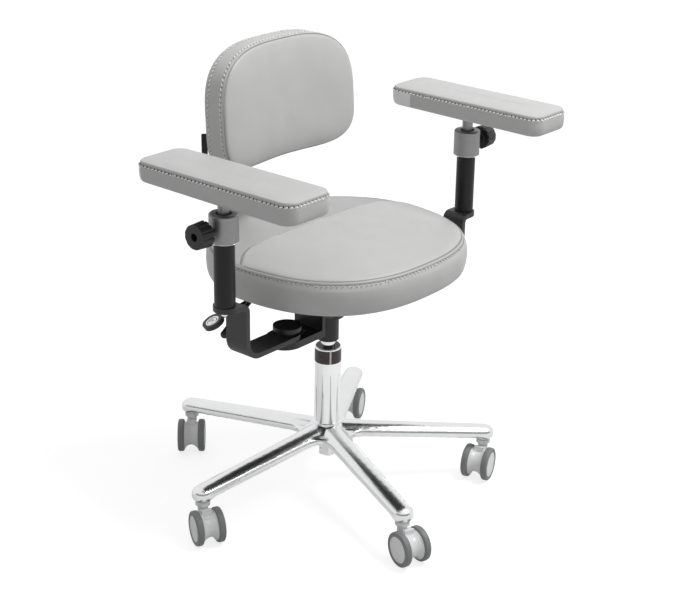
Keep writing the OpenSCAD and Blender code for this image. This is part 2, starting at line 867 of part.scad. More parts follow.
module tilt_lever() {
    reach = (tilt_lever_x - lever_pivot_x) / cos(tilt_lever_slope);
    color([0.1, 0.1, 0.11]) translate([-lever_pivot_x, tilt_lever_y, tilt_lever_z])
        rotate([0, -tilt_lever_slope, 0]) {
            lever_shank(reach - tilt_grip_l / 2);
            rod_x(-reach + tilt_grip_d / 2, tilt_grip_l - tilt_grip_d, tilt_grip_d / 2);
            translate([-reach + tilt_grip_d / 2, 0, 0]) sphere(r = tilt_grip_d / 2, $fn = fine);
        }
}

// Arms

// middle line of the strap, from the clamp bolt out and up to the tube
function strap_path() =
    let (low_z = strap_low_z + strap_t / 2)
    let (high_z = strap_top_z - strap_t / 2)
    let (up_x = -strap_upright_x - strap_t / 2)
    let (low_r = strap_low_bend + strap_t / 2)
    let (high_r = strap_high_bend + strap_t / 2)
    concat(
        [[-bolt_x + strap_w / 2, low_z]],
        arc_points([up_x + low_r, low_z + low_r], low_r, 270, 180),
        arc_points([up_x - high_r, high_z - high_r], high_r, 0, 90),
        [[-arm_x + strap_end_inset - strap_w / 2, high_z]]
    );

module strap(left) {
    end_x = arm_x - strap_end_inset;
    color([0.15, 0.15, 0.16]) on_side(left) difference() {
        intersection() {
            along_y(strap_w, arm_y) polygon(strip_outline(strap_path(), strap_t));
            translate([0, arm_y, 0]) linear_extrude(strap_top_z + strap_t) union() {
                translate([-bolt_x, 0]) circle(r = strap_w / 2, $fn = smooth);
                translate([-end_x, 0]) circle(r = strap_w / 2, $fn = smooth);
                translate([-end_x, -strap_w / 2]) square([end_x - bolt_x, strap_w]);
            }
        }
        translate([-bolt_x, arm_y, 0])
            cylinder(h = strap_low_top_z + strap_t, r = bolt_d / 2 + running_gap, $fn = smooth);
    }
}

module clamp_bolt(left) {
    color([0.7, 0.71, 0.72]) on_side(left) translate([-bolt_x, arm_y, 0]) {
        translate([0, 0, bolt_head_top_z - bolt_head_h])
            cylinder(h = bolt_head_h, r = bolt_head_d / 2, $fn = hexagon);
        translate([0, 0, bolt_head_top_z])
            cylinder(h = bolt_top_z - bolt_head_top_z, r = bolt_d / 2, $fn = smooth);
    }
}

module disc_knob(left) {
    color([0.07, 0.07, 0.08]) on_side(left) translate([-bolt_x, arm_y, 0]) difference() {
        union() {
            translate([0, 0, disc_neck_z]) cylinder(h = disc_neck_h, r = disc_neck_d / 2, $fn = smooth);
            translate([0, 0, disc_z]) cylinder(h = disc_knob_t, r = disc_knob_d / 2, $fn = smooth);
        }
        cylinder(h = bolt_top_z + slip_gap, r = bolt_d / 2 + running_gap, $fn = smooth);
    }
}

module arm_tube(left) {
    color([0.12, 0.12, 0.13]) on_side(left) translate([-arm_x, arm_y, strap_top_z]) difference() {
        cylinder(h = tube_end_z - strap_top_z, r = tube_d / 2, $fn = smooth);
        cylinder(h = tube_end_z, r = tube_d / 2 - tube_wall, $fn = smooth);
    }
}

module collar(left) {
    height = collar_top_z - collar_z;
    color([0.62, 0.63, 0.64]) on_side(left) translate([-arm_x, arm_y, collar_z]) difference() {
        rotate_extrude($fn = smooth) polygon([
            [0, 0],
            [collar_d / 2 - collar_bevel, 0],
            [collar_d / 2, collar_bevel],
            [collar_d / 2, height - collar_bevel],
            [collar_d / 2 - collar_bevel, height],
            [0, height]
        ]);
        cylinder(h = collar_socket, r = tube_d / 2, $fn = smooth);
        cylinder(h = collar_d + height, r = post_d / 2 + running_gap, $fn = smooth);
        translate([0, 0, height - mouth_depth]) cylinder(h = collar_d, r = mouth_d / 2, $fn = smooth);
        translate([0, 0, knob_z - collar_z]) rod_x(-collar_d, collar_d, knob_screw_d / 2 + running_gap);
    }
}

module side_knob(left) {
    screw_in = collar_d / 2 - post_d / 2 - 2 * slip_gap;
    color([0.07, 0.07, 0.08]) on_side(left) translate([-knob_face_x, arm_y, knob_z]) rotate([0, -90, 0]) {
        difference() {
            union() {
                cylinder(h = knob_l, r = knob_neck_d / 2, $fn = smooth);
                translate([0, 0, knob_back_l])
                    cylinder(h = knob_l - knob_back_l, r1 = knob_d / 2, r2 = knob_face_d / 2, $fn = smooth);
            }
            translate([0, 0, knob_l - knob_hole_depth])
                cylinder(h = knob_l, r = knob_hole_d / 2, $fn = smooth);
            for (k = [0:knob_ribs - 1]) rotate(k * 360 / knob_ribs) translate([knob_d / 2, 0, 0])
                cylinder(h = 2 * knob_l, r = knob_groove_r, $fn = fine);
        }
        translate([0, 0, -knob_stand - screw_in])
            cylinder(h = knob_stand + screw_in, r = knob_screw_d / 2, $fn = fine);
    }
}

module post(left) {
    color([0.45, 0.45, 0.46]) on_side(left) translate([-arm_x, arm_y, 0]) difference() {
        translate([0, 0, post_foot_z]) cylinder(h = post_top_z - post_foot_z, r = post_d / 2, $fn = smooth);
        translate([0, 0, plate_z - pivot_l - slip_gap])
            cylinder(h = pivot_l + pad_side, r = pivot_d / 2 + running_gap, $fn = smooth);
    }
}

module pad_plate(left) {
    color([0.2, 0.2, 0.21]) on_side(left) {
        translate([-arm_x - plate_w / 2, pad_y - plate_l / 2, plate_z]) cube([plate_w, plate_l, plate_t]);
        translate([-arm_x, arm_y, plate_z - pivot_l]) cylinder(h = pivot_l, r = pivot_d / 2, $fn = smooth);
    }
}

// points of the outline of an arm pad, grown or shrunk by out
function pad_outline(out) = [
    for (q = [0:3]) for (i = [0:pad_corner_steps])
        [
            (q == 0 || q == 3 ? 1 : -1) * (pad_w / 2 - pad_corner),
            (q < 2 ? 1 : -1) * (pad_l / 2 - pad_corner)
        ] + (pad_corner + out) * heading(90 * (q + i / pad_corner_steps))
];

// rows of a pad from its underside to its crown: how far out, and the height as shares of side and crown
pad_rows = [
    [-9, 0, 0], [-4, 0.02, 0], [-1, 0.12, 0], [1, 0.5, 0], [0.6, 0.85, 0], [0, 0.97, 0],
    [-1.2, 1, 0.08], [-3, 1, 0.42], [-6, 1, 0.72], [-11, 1, 0.94], [-20, 1, 1]
];

module arm_pad(left) {
    rows = [for (row = pad_rows) [
        row[0] > 0 ? row[0] * pad_bulge : row[0],
        pad_z + row[1] * pad_side + row[2] * pad_crown
    ]];
    points = concat(
        [[0, 0, pad_z]],
        [for (row = rows) for (p = pad_outline(row[0])) [p[0], p[1], row[1]]],
        [[0, 0, pad_z + pad_side + pad_crown]]
    );
    faces = ring_faces(len(rows), 4 * (pad_corner_steps + 1));
    color([0.72, 0.72, 0.72]) on_side(left) translate([-arm_x, pad_y, 0])
        polyhedron(points = points, faces = faces, convexity = 2);
}

// Seat cushion

// outline of the seat at its seam, grown or shrunk by out
function seat_outline(t, out) =
    round_point(t, seat_half_w + out, seat_rear + out, seat_front + out, seat_rear_power, seat_front_power)
    + [0, seat_mid_y];

// rows of the side band: how far out as shares of the bulge, height as shares of the band
seat_band_rows = [[-0.2, 0], [0.47, 0.04], [0.85, 0.25], [1, 0.55], [0.9, 0.78], [0.4, 0.93], [0, 1]];

// rows of the top: share of the way from the seam to the middle, height as shares of the crown
seat_top_rows = [
    [0.012, -0.06], [0.03, 0.2], [0.07, 0.5], [0.13, 0.74], [0.22, 0.9], [0.36, 1], [0.55, 1], [0.78, 0.97]
];

// angles of the outline, with three close together at each end of the sewn channel
function seat_turns() =
    let (side = asin((seat_seam_end_y - seat_mid_y) / seat_front))
    let (rear = (180 - 2 * side) / rear_steps)
    let (front = (180 + 2 * side) / front_steps)
    concat(
        [side - seam_pinch, side, side + seam_pinch],
        [for (i = [1:rear_steps - 1]) side + i * rear],
        [180 - side - seam_pinch, 180 - side, 180 - side + seam_pinch],
        [for (i = [1:front_steps - 1]) 180 - side + i * front]
    );

// height of the top of the seat over its seam
function seat_height(x, y, share) =
    let (edge = pow(min(1, abs(x) / seat_half_w), seat_seam_power))
    let (seam = seat_seam_y + (seat_seam_end_y - seat_seam_y) * edge)
    let (past = max(-1, min(1, (y - seam) / channel_half_w)))
    let (depth = seat_channel * min(1, max(0, share) / channel_full_share))
    share * (seat_crown - seat_step * (past + 1) / 2) - depth * (1 - abs(past));

module seat_cushion() {
    turns = seat_turns();
    n = len(turns);
    middle = [0, seat_seam_y];
    rows = len(seat_band_rows) + len(seat_top_rows);
    points = concat(
        [[0, seat_mid_y, seat_z]],
        [for (row = seat_band_rows) for (t = turns)
            let (p = seat_outline(t, row[0] * seat_bulge)) [p[0], p[1], seat_z + row[1] * seat_band]],
        [for (row = seat_top_rows) for (t = turns)
            let (p = seat_outline(t, 0) * (1 - row[0]) + middle * row[0])
            [p[0], p[1], seat_seam_z + seat_height(p[0], p[1], row[1])]],
        [[middle[0], middle[1], seat_seam_z + seat_height(0, seat_seam_y, 1)]]
    );
    color([0.74, 0.74, 0.74])
        polyhedron(points = points, faces = ring_faces(rows, n), convexity = 2);
}

// Back

// places children drawn in the frame of the back: X across, Y its depth, Z up its face
module in_back_frame() {
    translate([0, back_y, back_mid_z]) rotate([-back_lean, 0, 0]) children();
}

// outline of the back at its seams, grown or shrunk by out
function back_outline(t, out) =
    let (up = back_up + out)
    let (down = back_down + out)
    let (p = round_point(t, back_half_w + out, up, down, back_up_power, back_down_power))
    let (lift = p[1] < 0 ? back_rise * pow(p[1] / back_down, 2) * (1 - pow(p[0] / back_half_w, 2)) : 0)
    [p[0], p[1] + lift];

// forward shift of the back at x, which wraps it round the sitter
function wrap(x) = back_wrap * pow(x / back_half_w, 2);

// rows of the back from its rear face to its front: share to the middle, out in shares of the bulge,
// depth in shares of the thickness, crown share
back_rows = [
    [0.3, 0, 1, 0.45], [0.1, 0, 1, 0.35], [0.03, 0.5, 1, 0.16], [0, 1.2, 1, 0],
    [0, 1.8, 0.93, 0], [0, 1.8, 0.7, 0], [0, 1, 0.3, 0], [0, 0.6, 0.07, 0], [0, 0, 0, 0],
    [0.012, 0, 0, 0.08], [0.035, 0, 0, -0.22], [0.09, 0, 0, -0.5], [0.2, 0, 0, -0.76],
    [0.36, 0, 0, -0.9], [0.6, 0, 0, -0.98]
];

module back_cushion() {
    points = concat(
        [[0, back_t + back_crown / 2, 0]],
        [for (row = back_rows) for (i = [0:back_steps - 1])
            let (p = back_outline(i * 360 / back_steps, row[1] * back_bulge) * (1 - row[0]))
            [p[0], row[2] * back_t + row[3] * back_crown - wrap(p[0]), p[1]]],
        [[0, -back_crown, 0]]
    );
    color([0.74, 0.74, 0.74]) in_back_frame()
        polyhedron(points = points, faces = ring_faces(len(back_rows), back_steps), convexity = 2);
}

// point of the bar's frame, depth and height, seen in the frame of the chair
function from_back(depth, up) = [
    back_y + depth * cos(back_lean) + up * sin(back_lean),
    back_mid_z - depth * sin(back_lean) + up * cos(back_lean)
];

// rounds the corner at q of the way from p over q to s
function corner_points(p, q, s, r) =
    let (a = (p - q) / norm(p - q))
    let (b = (s - q) / norm(s - q))
    let (half = acos(a * b) / 2)
    let (back = r / tan(half))
    let (c = q + (a + b) / norm(a + b) * r / sin(half))
    let (from = q + a * back - c)
    let (to = q + b * back - c)
    let (start = atan2(from[1], from[0]))
    let (sweep = atan2(to[1], to[0]) - start)
    let (turn = sweep > 180 ? sweep - 360 : sweep < -180 ? sweep + 360 : sweep)
    arc_points(c, r, start, start + turn, 6);

// middle line of the back bar, from its hinge to its top
function bar_path() =
    let (a = [back_hinge_y, back_hinge_z])
    let (b = [bar_rear_y, back_hinge_z])
    let (c = [bar_rear_y, bar_knee_z])
    let (d = from_back(bar_depth + bar_t / 2, -bar_straight_down))
    let (e = from_back(bar_depth + bar_t / 2, bar_top_up))
    concat([a], corner_points(a, b, c, bar_bend_r), corner_points(b, c, d, bar_bend_r),
        corner_points(c, d, e, bar_bend_r), [e]);

module back_bar() {
    color([0.12, 0.12, 0.13]) difference() {
        union() {
            across(bar_w) polygon(strip_outline(bar_path(), bar_t));
            translate([-bar_w / 2, back_hinge_y, back_hinge_z]) rod_x(0, bar_w, barrel_r);
        }
        translate([-bar_w, back_hinge_y, back_hinge_z]) rod_x(0, 2 * bar_w, back_pin_d / 2 + running_gap);
    }
}

module back_slider() {
    start = back_t + back_crown / 2;
    gap = slip_gap;
    color([0.12, 0.12, 0.13]) in_back_frame() translate([0, start, slider_up]) difference() {
        translate([-slider_w / 2, 0, -slider_h / 2]) cube([slider_w, slider_depth, slider_h]);
        translate([-bar_w / 2 - gap, slider_bar_gap - gap, -slider_h])
            cube([bar_w + 2 * gap, bar_t + 2 * gap, 2 * slider_h]);
        translate([0, slider_bar_gap + bar_t, 0]) rotate([-90, 0, 0])
            cylinder(h = slider_depth, r = back_screw_d / 2 + running_gap, $fn = fine);
    }
}

module back_knob() {
    start = back_t + back_crown / 2;
    screw_y = start + slider_bar_gap + bar_t + 2 * slip_gap;
    knob_y = start + slider_depth + slip_gap;
    color([0.08, 0.08, 0.09]) in_back_frame() translate([0, 0, slider_up]) rotate([-90, 0, 0]) {
        translate([0, 0, screw_y]) cylinder(h = knob_y - screw_y, r = back_screw_d / 2, $fn = fine);
        translate([0, 0, knob_y]) linear_extrude(back_knob_l) difference() {
            circle(r = back_knob_d / 2, $fn = smooth);
            for (k = [0:knob_ribs - 1]) rotate(k * 360 / knob_ribs) translate([back_knob_d / 2, 0])
                circle(r = knob_groove_r, $fn = fine);
        }
    }
}

// Castors

// places children drawn with the stem at the origin and the axle behind it along +X
module at_castor(k) {
    turn = base_turn + k * arm_step;
    translate([stem_reach * cos(turn), stem_reach * sin(turn), 0]) rotate(castor_heading[k]) children();
}

// half of the profile of the housing body, drawn as radius and width, with a hollow waist
function housing_profile(half) =
    let (hollow = housing_r - housing_waist_r)
    let (r = (half * half + hollow * hollow) / (2 * hollow))
    let (swing = asin(half / r))
    concat(
        [[0, -half], [housing_r, -half]],
        arc_points([housing_waist_r + r, 0], r, 180 + swing, 180 - swing, 6),
        [[housing_r, half], [0, half]]
    );

module housing_body() {
    half = wheel_inner - slip_gap;
    difference() {
        translate([trail, 0, axle_z]) rotate([90, 0, 0]) {
            rotate_extrude($fn = smooth) polygon(housing_profile(half));
            intersection() {
                cylinder(h = housing_neck_w, r = housing_bridge_r, center = true, $fn = smooth);
                translate([-trail, 0, -housing_neck_w]) cube([trail, wheel_d, 2 * housing_neck_w]);
            }
        }
        translate([0, 0, arch_z]) rod_x(-stem_reach / 2, stem_reach, arch_r);
        translate([-stem_reach / 2, -arch_r, 0]) cube([stem_reach, 2 * arch_r, arch_z]);
    }
}

module castor_housing(k) {
    color([0.66, 0.67, 0.68]) at_castor(k) {
        housing_body();
        translate([0, 0, axle_z + housing_neck_w / 2]) cylinder(
            h = housing_collar_z - axle_z - housing_neck_w / 2,
            r = housing_neck_w / 2,
            $fn = smooth
        );
        translate([0, 0, housing_collar_foot_z])
            cylinder(h = housing_collar_z - housing_collar_foot_z, r = housing_collar_d / 2, $fn = smooth);
        translate([0, 0, housing_collar_z])
            cylinder(h = boss_z - housing_collar_z - slip_gap, r = housing_washer_d / 2, $fn = smooth);
        translate([0, 0, boss_z - 2 * slip_gap]) cylinder(h = stem_depth, r = stem_d / 2, $fn = smooth);
        translate([trail, 0, axle_z]) rotate([90, 0, 0])
            cylinder(h = 2 * (wheel_outer - axle_cover), r = axle_d / 2, center = true, $fn = fine);
    }
}

// places a wheel profile on one side of castor k, its width along the axle
module at_wheel(k, side) {
    at_castor(k) translate([trail, side * wheel_inner, axle_z]) rotate([-side * 90, 0, 0]) children();
}

module tyre(k, side) {
    r = axle_z;
    c = tread_round;
    color([0.42, 0.43, 0.44]) at_wheel(k, side) rotate_extrude($fn = smooth) polygon(concat(
        [[rim_r, 0]],
        arc_points([r - c, c], c, -90, 0, 6),
        arc_points([r - c, wheel_w - c], c, 0, 90, 6),
        [[rim_r, wheel_w]]
    ));
}

module rim(k, side) {
    color([0.74, 0.75, 0.76]) at_wheel(k, side) difference() {
        cylinder(h = wheel_w - rim_recess, r = rim_r, $fn = smooth);
        cylinder(h = wheel_w - axle_cover + slip_gap, r = axle_d / 2 + running_gap, $fn = fine);
    }
}

star_base();
column_tube();
column_bush();
hub_cap();
piston_rod();
rod_sleeve();
seat_mechanism();
seat_board();
seat_cushion();
arm_carriers();
height_lever();
tilt_lever();
back_bar();
back_slider();
back_knob();
back_cushion();
clamp_bolt(false);  // right_clamp_bolt
disc_knob(false);  // right_disc_knob
strap(false);  // right_strap
arm_tube(false);  // right_tube
collar(false);  // right_collar
side_knob(false);  // right_side_knob
post(false);  // right_post
pad_plate(false);  // right_pad_plate
arm_pad(false);  // right_pad
clamp_bolt(true);  // left_clamp_bolt
disc_knob(true);  // left_disc_knob
strap(true);  // left_strap
arm_tube(true);  // left_tube
collar(true);  // left_collar
side_knob(true);  // left_side_knob
post(true);  // left_post
pad_plate(true);  // left_pad_plate
arm_pad(true);  // left_pad
castor_housing(0);  // castor_1_housing
tyre(0, 1);  // castor_1_near_tyre
rim(0, 1);  // castor_1_near_rim
tyre(0, -1);  // castor_1_far_tyre
rim(0, -1);  // castor_1_far_rim
castor_housing(1);  // castor_2_housing
tyre(1, 1);  // castor_2_near_tyre
rim(1, 1);  // castor_2_near_rim
tyre(1, -1);  // castor_2_far_tyre
rim(1, -1);  // castor_2_far_rim
castor_housing(2);  // castor_3_housing
tyre(2, 1);  // castor_3_near_tyre
rim(2, 1);  // castor_3_near_rim
tyre(2, -1);  // castor_3_far_tyre
rim(2, -1);  // castor_3_far_rim
castor_housing(3);  // castor_4_housing
tyre(3, 1);  // castor_4_near_tyre
rim(3, 1);  // castor_4_near_rim
tyre(3, -1);  // castor_4_far_tyre
rim(3, -1);  // castor_4_far_rim
castor_housing(4);  // castor_5_housing
tyre(4, 1);  // castor_5_near_tyre
rim(4, 1);  // castor_5_near_rim
tyre(4, -1);  // castor_5_far_tyre
rim(4, -1);  // castor_5_far_rim
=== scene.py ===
import math

import bpy
import numpy as np
from mathutils import Matrix, Vector


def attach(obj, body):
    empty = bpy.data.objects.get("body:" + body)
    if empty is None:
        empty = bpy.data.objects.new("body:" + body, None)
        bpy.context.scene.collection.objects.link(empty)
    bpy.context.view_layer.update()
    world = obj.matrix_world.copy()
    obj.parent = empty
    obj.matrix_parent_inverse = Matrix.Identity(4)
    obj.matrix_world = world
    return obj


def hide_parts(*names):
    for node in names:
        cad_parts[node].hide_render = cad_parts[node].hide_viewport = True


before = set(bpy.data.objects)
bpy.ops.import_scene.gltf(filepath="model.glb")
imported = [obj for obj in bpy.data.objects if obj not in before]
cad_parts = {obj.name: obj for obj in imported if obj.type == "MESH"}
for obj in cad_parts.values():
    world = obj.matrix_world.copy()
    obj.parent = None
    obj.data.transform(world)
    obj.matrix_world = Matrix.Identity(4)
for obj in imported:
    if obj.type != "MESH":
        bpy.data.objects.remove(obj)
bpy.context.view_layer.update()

# Shapes are worked out in millimetres and made in metres, in the frame of the CAD model.
MM = 0.001
TINY = 1e-9
FULL_TURN = 2 * math.pi
SIDES = (("right", -1), ("left", 1))

# Places taken over from the part's source, in millimetres. The powers and the rise of the back's outline
# and the corner of the pads are the covers' own: they are a little fuller than the solids.
SEAT_FOOT_Z = 449
SEAT_BAND = 60
SEAT_HALF_W = 230
SEAT_MID_Y = 6
SEAT_FRONT = 233
SEAT_REAR = 209
SEAT_FRONT_POWER = 2.5
SEAT_REAR_POWER = 1.8
BACK_HALF_W = 175
BACK_MID_Z = 719
BACK_UP = 136
BACK_DOWN = 93
BACK_UP_POWER = 3.15
BACK_DOWN_POWER = 3.3
BACK_Y = 111
BACK_LEAN = math.radians(4)
BACK_THICK = 44
BACK_WRAP = 18
BACK_RISE = 16
PAD_X = 335
PAD_Y = -79
PAD_Z = 685
PAD_LENGTH = 344
PAD_WIDTH = 106
PAD_CORNER = 24
PAD_SIDE = 35.4
ARM_Y = -60
COLUMN_R = 25
COLLAR_FOOT_Z = 600
TUBE_FOOT_Z = 477.8

STITCH_PITCH = 8.6
GRID_ROUND = {"seat": 832, "back": 640, "pad": 512}


# Nodes of materials

def feed(tree, socket, value):
    """Links an input to the output of a node, or sets its plain value."""
    if isinstance(value, bpy.types.NodeSocket):
        tree.links.new(value, socket)
    else:
        socket.default_value = value


def node(tree, kind, **inputs):
    """A node with its inputs fed; an underscore stands for the space in the name of an input."""
    made = tree.nodes.new(kind)
    for key, value in inputs.items():
        feed(tree, made.inputs[key.replace("_", " ")], value)
    return made


def operated(tree, kind, operation, first, second):
    """The value of a node of arithmetic on one or two numbers or vectors."""
    made = tree.nodes.new(kind)
    made.operation = operation
    feed(tree, made.inputs[0], first)
    if second is not None:
        feed(tree, made.inputs[1], second)
    return made.outputs["Value"]


def maths(tree, operation, first, second=None):
    return operated(tree, "ShaderNodeMath", operation, first, second)


def dot(tree, first, second):
    return operated(tree, "ShaderNodeVectorMath", "DOT_PRODUCT", first, second)


def new_material(name, colour, roughness, metallic=0.0):
    """A material with its tree and its Principled shader, whose plain values are set on the shader."""
    made = bpy.data.materials.new(name)
    made.use_nodes = True
    tree = made.node_tree
    shader = tree.nodes["Principled BSDF"]
    shader.inputs["Base Color"].default_value = (*colour, 1.0)
    shader.inputs["Roughness"].default_value = roughness
    shader.inputs["Metallic"].default_value = metallic
    return made, tree, shader


def place(tree, stretch=(1, 1, 1)):
    """Object coordinates, in metres, stretched per axis."""
    coord = tree.nodes.new("ShaderNodeTexCoord")
    return node(tree, "ShaderNodeMapping", Scale=stretch, Vector=coord.outputs["Object"]).outputs["Vector"]


def noise(tree, vector, scale, detail=3.0, rough=0.5):
    made = node(tree, "ShaderNodeTexNoise", Scale=scale, Detail=detail, Roughness=rough, Vector=vector)
    return made.outputs["Fac"]


def cells(tree, vector, scale):
    return node(tree, "ShaderNodeTexVoronoi", Scale=scale, Vector=vector).outputs["Distance"]


def spread(tree, factor, low, high, from_low=0.3, from_high=0.7):
    """The factor's range from from_low to from_high, spread from low to high."""
    made = node(tree, "ShaderNodeMapRange", From_Min=from_low, From_Max=from_high, To_Min=low, To_Max=high,
                Value=factor)
    return made.outputs["Result"]


def tint(tree, factor, dark, light):
    """A colour between dark and light by the factor, where dark may be the output of a node."""
    made = tree.nodes.new("ShaderNodeMix")
    made.data_type = "RGBA"
    feed(tree, made.inputs["A"], (*dark, 1.0) if isinstance(dark, tuple) else dark)
    feed(tree, made.inputs["B"], (*light, 1.0))
    feed(tree, made.inputs["Factor"], factor)
    return made.outputs["Result"]


def bump(tree, height, strength, distance, below=None):
    made = node(tree, "ShaderNodeBump", Strength=strength, Distance=distance, Height=height)
    if below is not None:
        feed(tree, made.inputs["Normal"], below)
    return made.outputs["Normal"]


def rounded(tree, radius):
    """Normals that are smooth across the edges of the CAD solids."""
    made = node(tree, "ShaderNodeBevel", Radius=radius)
    made.samples = 8
    return made.outputs["Normal"]


def edge_wear_and_highlight(tree, radius):
    """0 on open faces, up to 1 along edges, where the rounded normal leaves the true one."""
    shape = tree.nodes.new("ShaderNodeNewGeometry")
    match = dot(tree, rounded(tree, radius), shape.outputs["True Normal"])
    return spread(tree, match, 1.0, 0.0, from_low=0.8, from_high=1.0)


def scaled(colour, share, more=0.0):
    return tuple(min(1.0, c * share + more) for c in colour)


# Materials

def leather(name, colour, dark):
    """Grained leather, with painted shade in its creases, as much as a mesh's attribute says."""
    made, tree, shader = new_material(name, colour, 0.42)
    vector = place(tree)
    crease = tree.nodes.new("ShaderNodeAttribute")
    crease.attribute_name = "crease"
    mottle = spread(tree, noise(tree, vector, scale=26.0, detail=4.0), 0.0, 1.0)
    base = tint(tree, mottle, scaled(colour, 0.98), scaled(colour, 1.015))
    # Painted shade: the leather is tinted toward the dark colour in its creases.
    feed(tree, shader.inputs["Base Color"], tint(tree, crease.outputs["Fac"], base, dark))
    feed(tree, shader.inputs["Roughness"], spread(tree, noise(tree, vector, scale=90.0), 0.36, 0.48))
    wide = bump(tree, noise(tree, vector, scale=38.0, detail=2.0), strength=0.1, distance=0.0012)
    grain = bump(tree, cells(tree, vector, scale=1100.0), strength=0.35, distance=0.00025, below=wide)
    pores = noise(tree, vector, scale=2600.0, detail=2.0)
    fine = bump(tree, pores, strength=0.2, distance=0.0001, below=grain)
    feed(tree, shader.inputs["Normal"], fine)
    return made


def moulded(name, colour, roughness, grain=1800.0, depth=0.00012, worn_and_lit=1.5, radius=0.0008, specular=0.5):
    """Moulded plastic or coated metal with a fine texture, and rounded edges, lightened by wear and by a
    painted highlight.
    """
    made, tree, shader = new_material(name, colour, roughness)
    shader.inputs["Specular IOR Level"].default_value = specular
    vector = place(tree)
    patchiness = spread(tree, noise(tree, vector, scale=60.0), 0.2, 1.0)
    mask = maths(tree, "MULTIPLY", edge_wear_and_highlight(tree, radius), patchiness)
    # Edges lightened: partly wear, partly a painted highlight where rounded edges catch the light.
    feed(tree, shader.inputs["Base Color"], tint(tree, mask, colour, scaled(colour, worn_and_lit, more=0.01)))
    patch = spread(tree, noise(tree, vector, scale=22.0), roughness - 0.05, roughness + 0.06)
    feed(tree, shader.inputs["Roughness"], patch)
    texture = noise(tree, vector, scale=grain, detail=3.0)
    feed(tree, shader.inputs["Normal"], bump(tree, texture, 0.3, depth, below=rounded(tree, radius)))
    return made


def metal(name, colour, roughness, radius=0.0008, stretch=(1, 1, 1), brush=0.02):
    """Metal with faint polishing marks, and with rounded edges where it has a radius."""
    made, tree, shader = new_material(name, colour, roughness, metallic=1.0)
    marks = noise(tree, place(tree, stretch), scale=260.0, detail=4.0, rough=0.6)
    feed(tree, shader.inputs["Roughness"], spread(tree, marks, roughness * 0.8, roughness * 1.3))
    haze = spread(tree, noise(tree, place(tree), scale=14.0, detail=2.0), 0.0, 1.0)
    feed(tree, shader.inputs["Base Color"], tint(tree, haze, scaled(colour, 0.95), colour))
    normal = rounded(tree, radius) if radius else None
    feed(tree, shader.inputs["Normal"], bump(tree, marks, brush, distance=0.0001, below=normal))
    return made


def thread(name, colour):
    made, tree, shader = new_material(name, colour, 0.6)
    twist = noise(tree, place(tree), scale=3000.0, detail=2.0)
    shade = tint(tree, spread(tree, twist, 0.0, 1.0), scaled(colour, 0.9), colour)
    feed(tree, shader.inputs["Base Color"], shade)
    feed(tree, shader.inputs["Normal"], bump(tree, twist, strength=0.4, distance=0.0002))
    return made


LEATHER = (0.6, 0.6, 0.595)
# The colour that painted shade in creases tints the leather toward.
LEATHER_CREASE_SHADE = (0.13, 0.13, 0.13)
# The pads' piece behind the join: the leather painted paler, as painted reflected light.
PANEL_PAINTED_LIGHT = (0.95, 0.95, 0.945)
COAT = {"grain": 2400.0, "depth": 0.00008, "radius": 0.0014}

MATERIALS = {
    "leather": leather("light_leather", LEATHER, LEATHER_CREASE_SHADE),
    "panel": leather("panel_leather_painted_light", PANEL_PAINTED_LIGHT, LEATHER_CREASE_SHADE),
    "backing": moulded("dark_backing_cloth", (0.13, 0.13, 0.132), 0.8, grain=900.0, depth=0.0003),
    "thread": thread("pale_thread", (0.97, 0.97, 0.96)),
    "fine_thread": thread("grey_thread", (0.7, 0.7, 0.695)),
    # Painted shade: black capsules stand where the needle holes are shaded.
    "hole": moulded("needle_hole", (0.03, 0.03, 0.03), 0.9),
    "enamel": moulded("black_enamel", (0.013, 0.013, 0.014), 0.4, worn_and_lit=6.0, **COAT),
    "tube_enamel": moulded("black_tube_enamel", (0.011, 0.011, 0.012), 0.36, worn_and_lit=6.0, specular=0.34,
                           **COAT),
    "strap_enamel": moulded("black_strap_enamel", (0.028, 0.028, 0.029), 0.42, worn_and_lit=4.0, **COAT),
    "plastic": moulded("black_plastic", (0.016, 0.016, 0.017), 0.46, grain=1500.0, depth=0.00015,
                       worn_and_lit=4.0, radius=0.0012),
    "gloss": moulded("gloss_black_plastic", (0.012, 0.012, 0.013), 0.09, grain=1500.0, depth=0.00002,
                     worn_and_lit=2.0, radius=0.0012, specular=0.22),
    "alloy": metal("polished_alloy", (0.85, 0.855, 0.86), 0.2, radius=0.0),
    "chrome": metal("column_chrome", (0.93, 0.935, 0.94), 0.035),
    "satin": metal("satin_alloy", (0.36, 0.36, 0.36), 0.5, stretch=(0.15, 0.15, 6.0), brush=0.3),
    "zinc": metal("bolt_steel", (0.62, 0.62, 0.63), 0.25),
    "post": metal("post_steel", (0.3, 0.3, 0.31), 0.38, radius=0.0006, stretch=(1, 1, 4.0), brush=0.2),
    "housing": moulded("grey_housing", (0.92, 0.925, 0.93), 0.24, grain=700.0, depth=0.0001, worn_and_lit=1.1),
    "tread": moulded("grey_tread", (0.25, 0.253, 0.257), 0.5, grain=900.0, depth=0.0002, worn_and_lit=1.3),
    "rim": moulded("grey_rim", (0.95, 0.955, 0.96), 0.38, grain=1500.0, depth=0.0001, worn_and_lit=1.0),
    "disc": metal("bright_disc", (0.8, 0.8, 0.81), 0.2),
    "band": moulded("dark_band", (0.055, 0.036, 0.036), 0.3, grain=3000.0, depth=0.00005, worn_and_lit=1.2),
    "tag": moulded("black_tag", (0.02, 0.02, 0.02), 0.75, grain=1300.0, depth=0.0003),
}

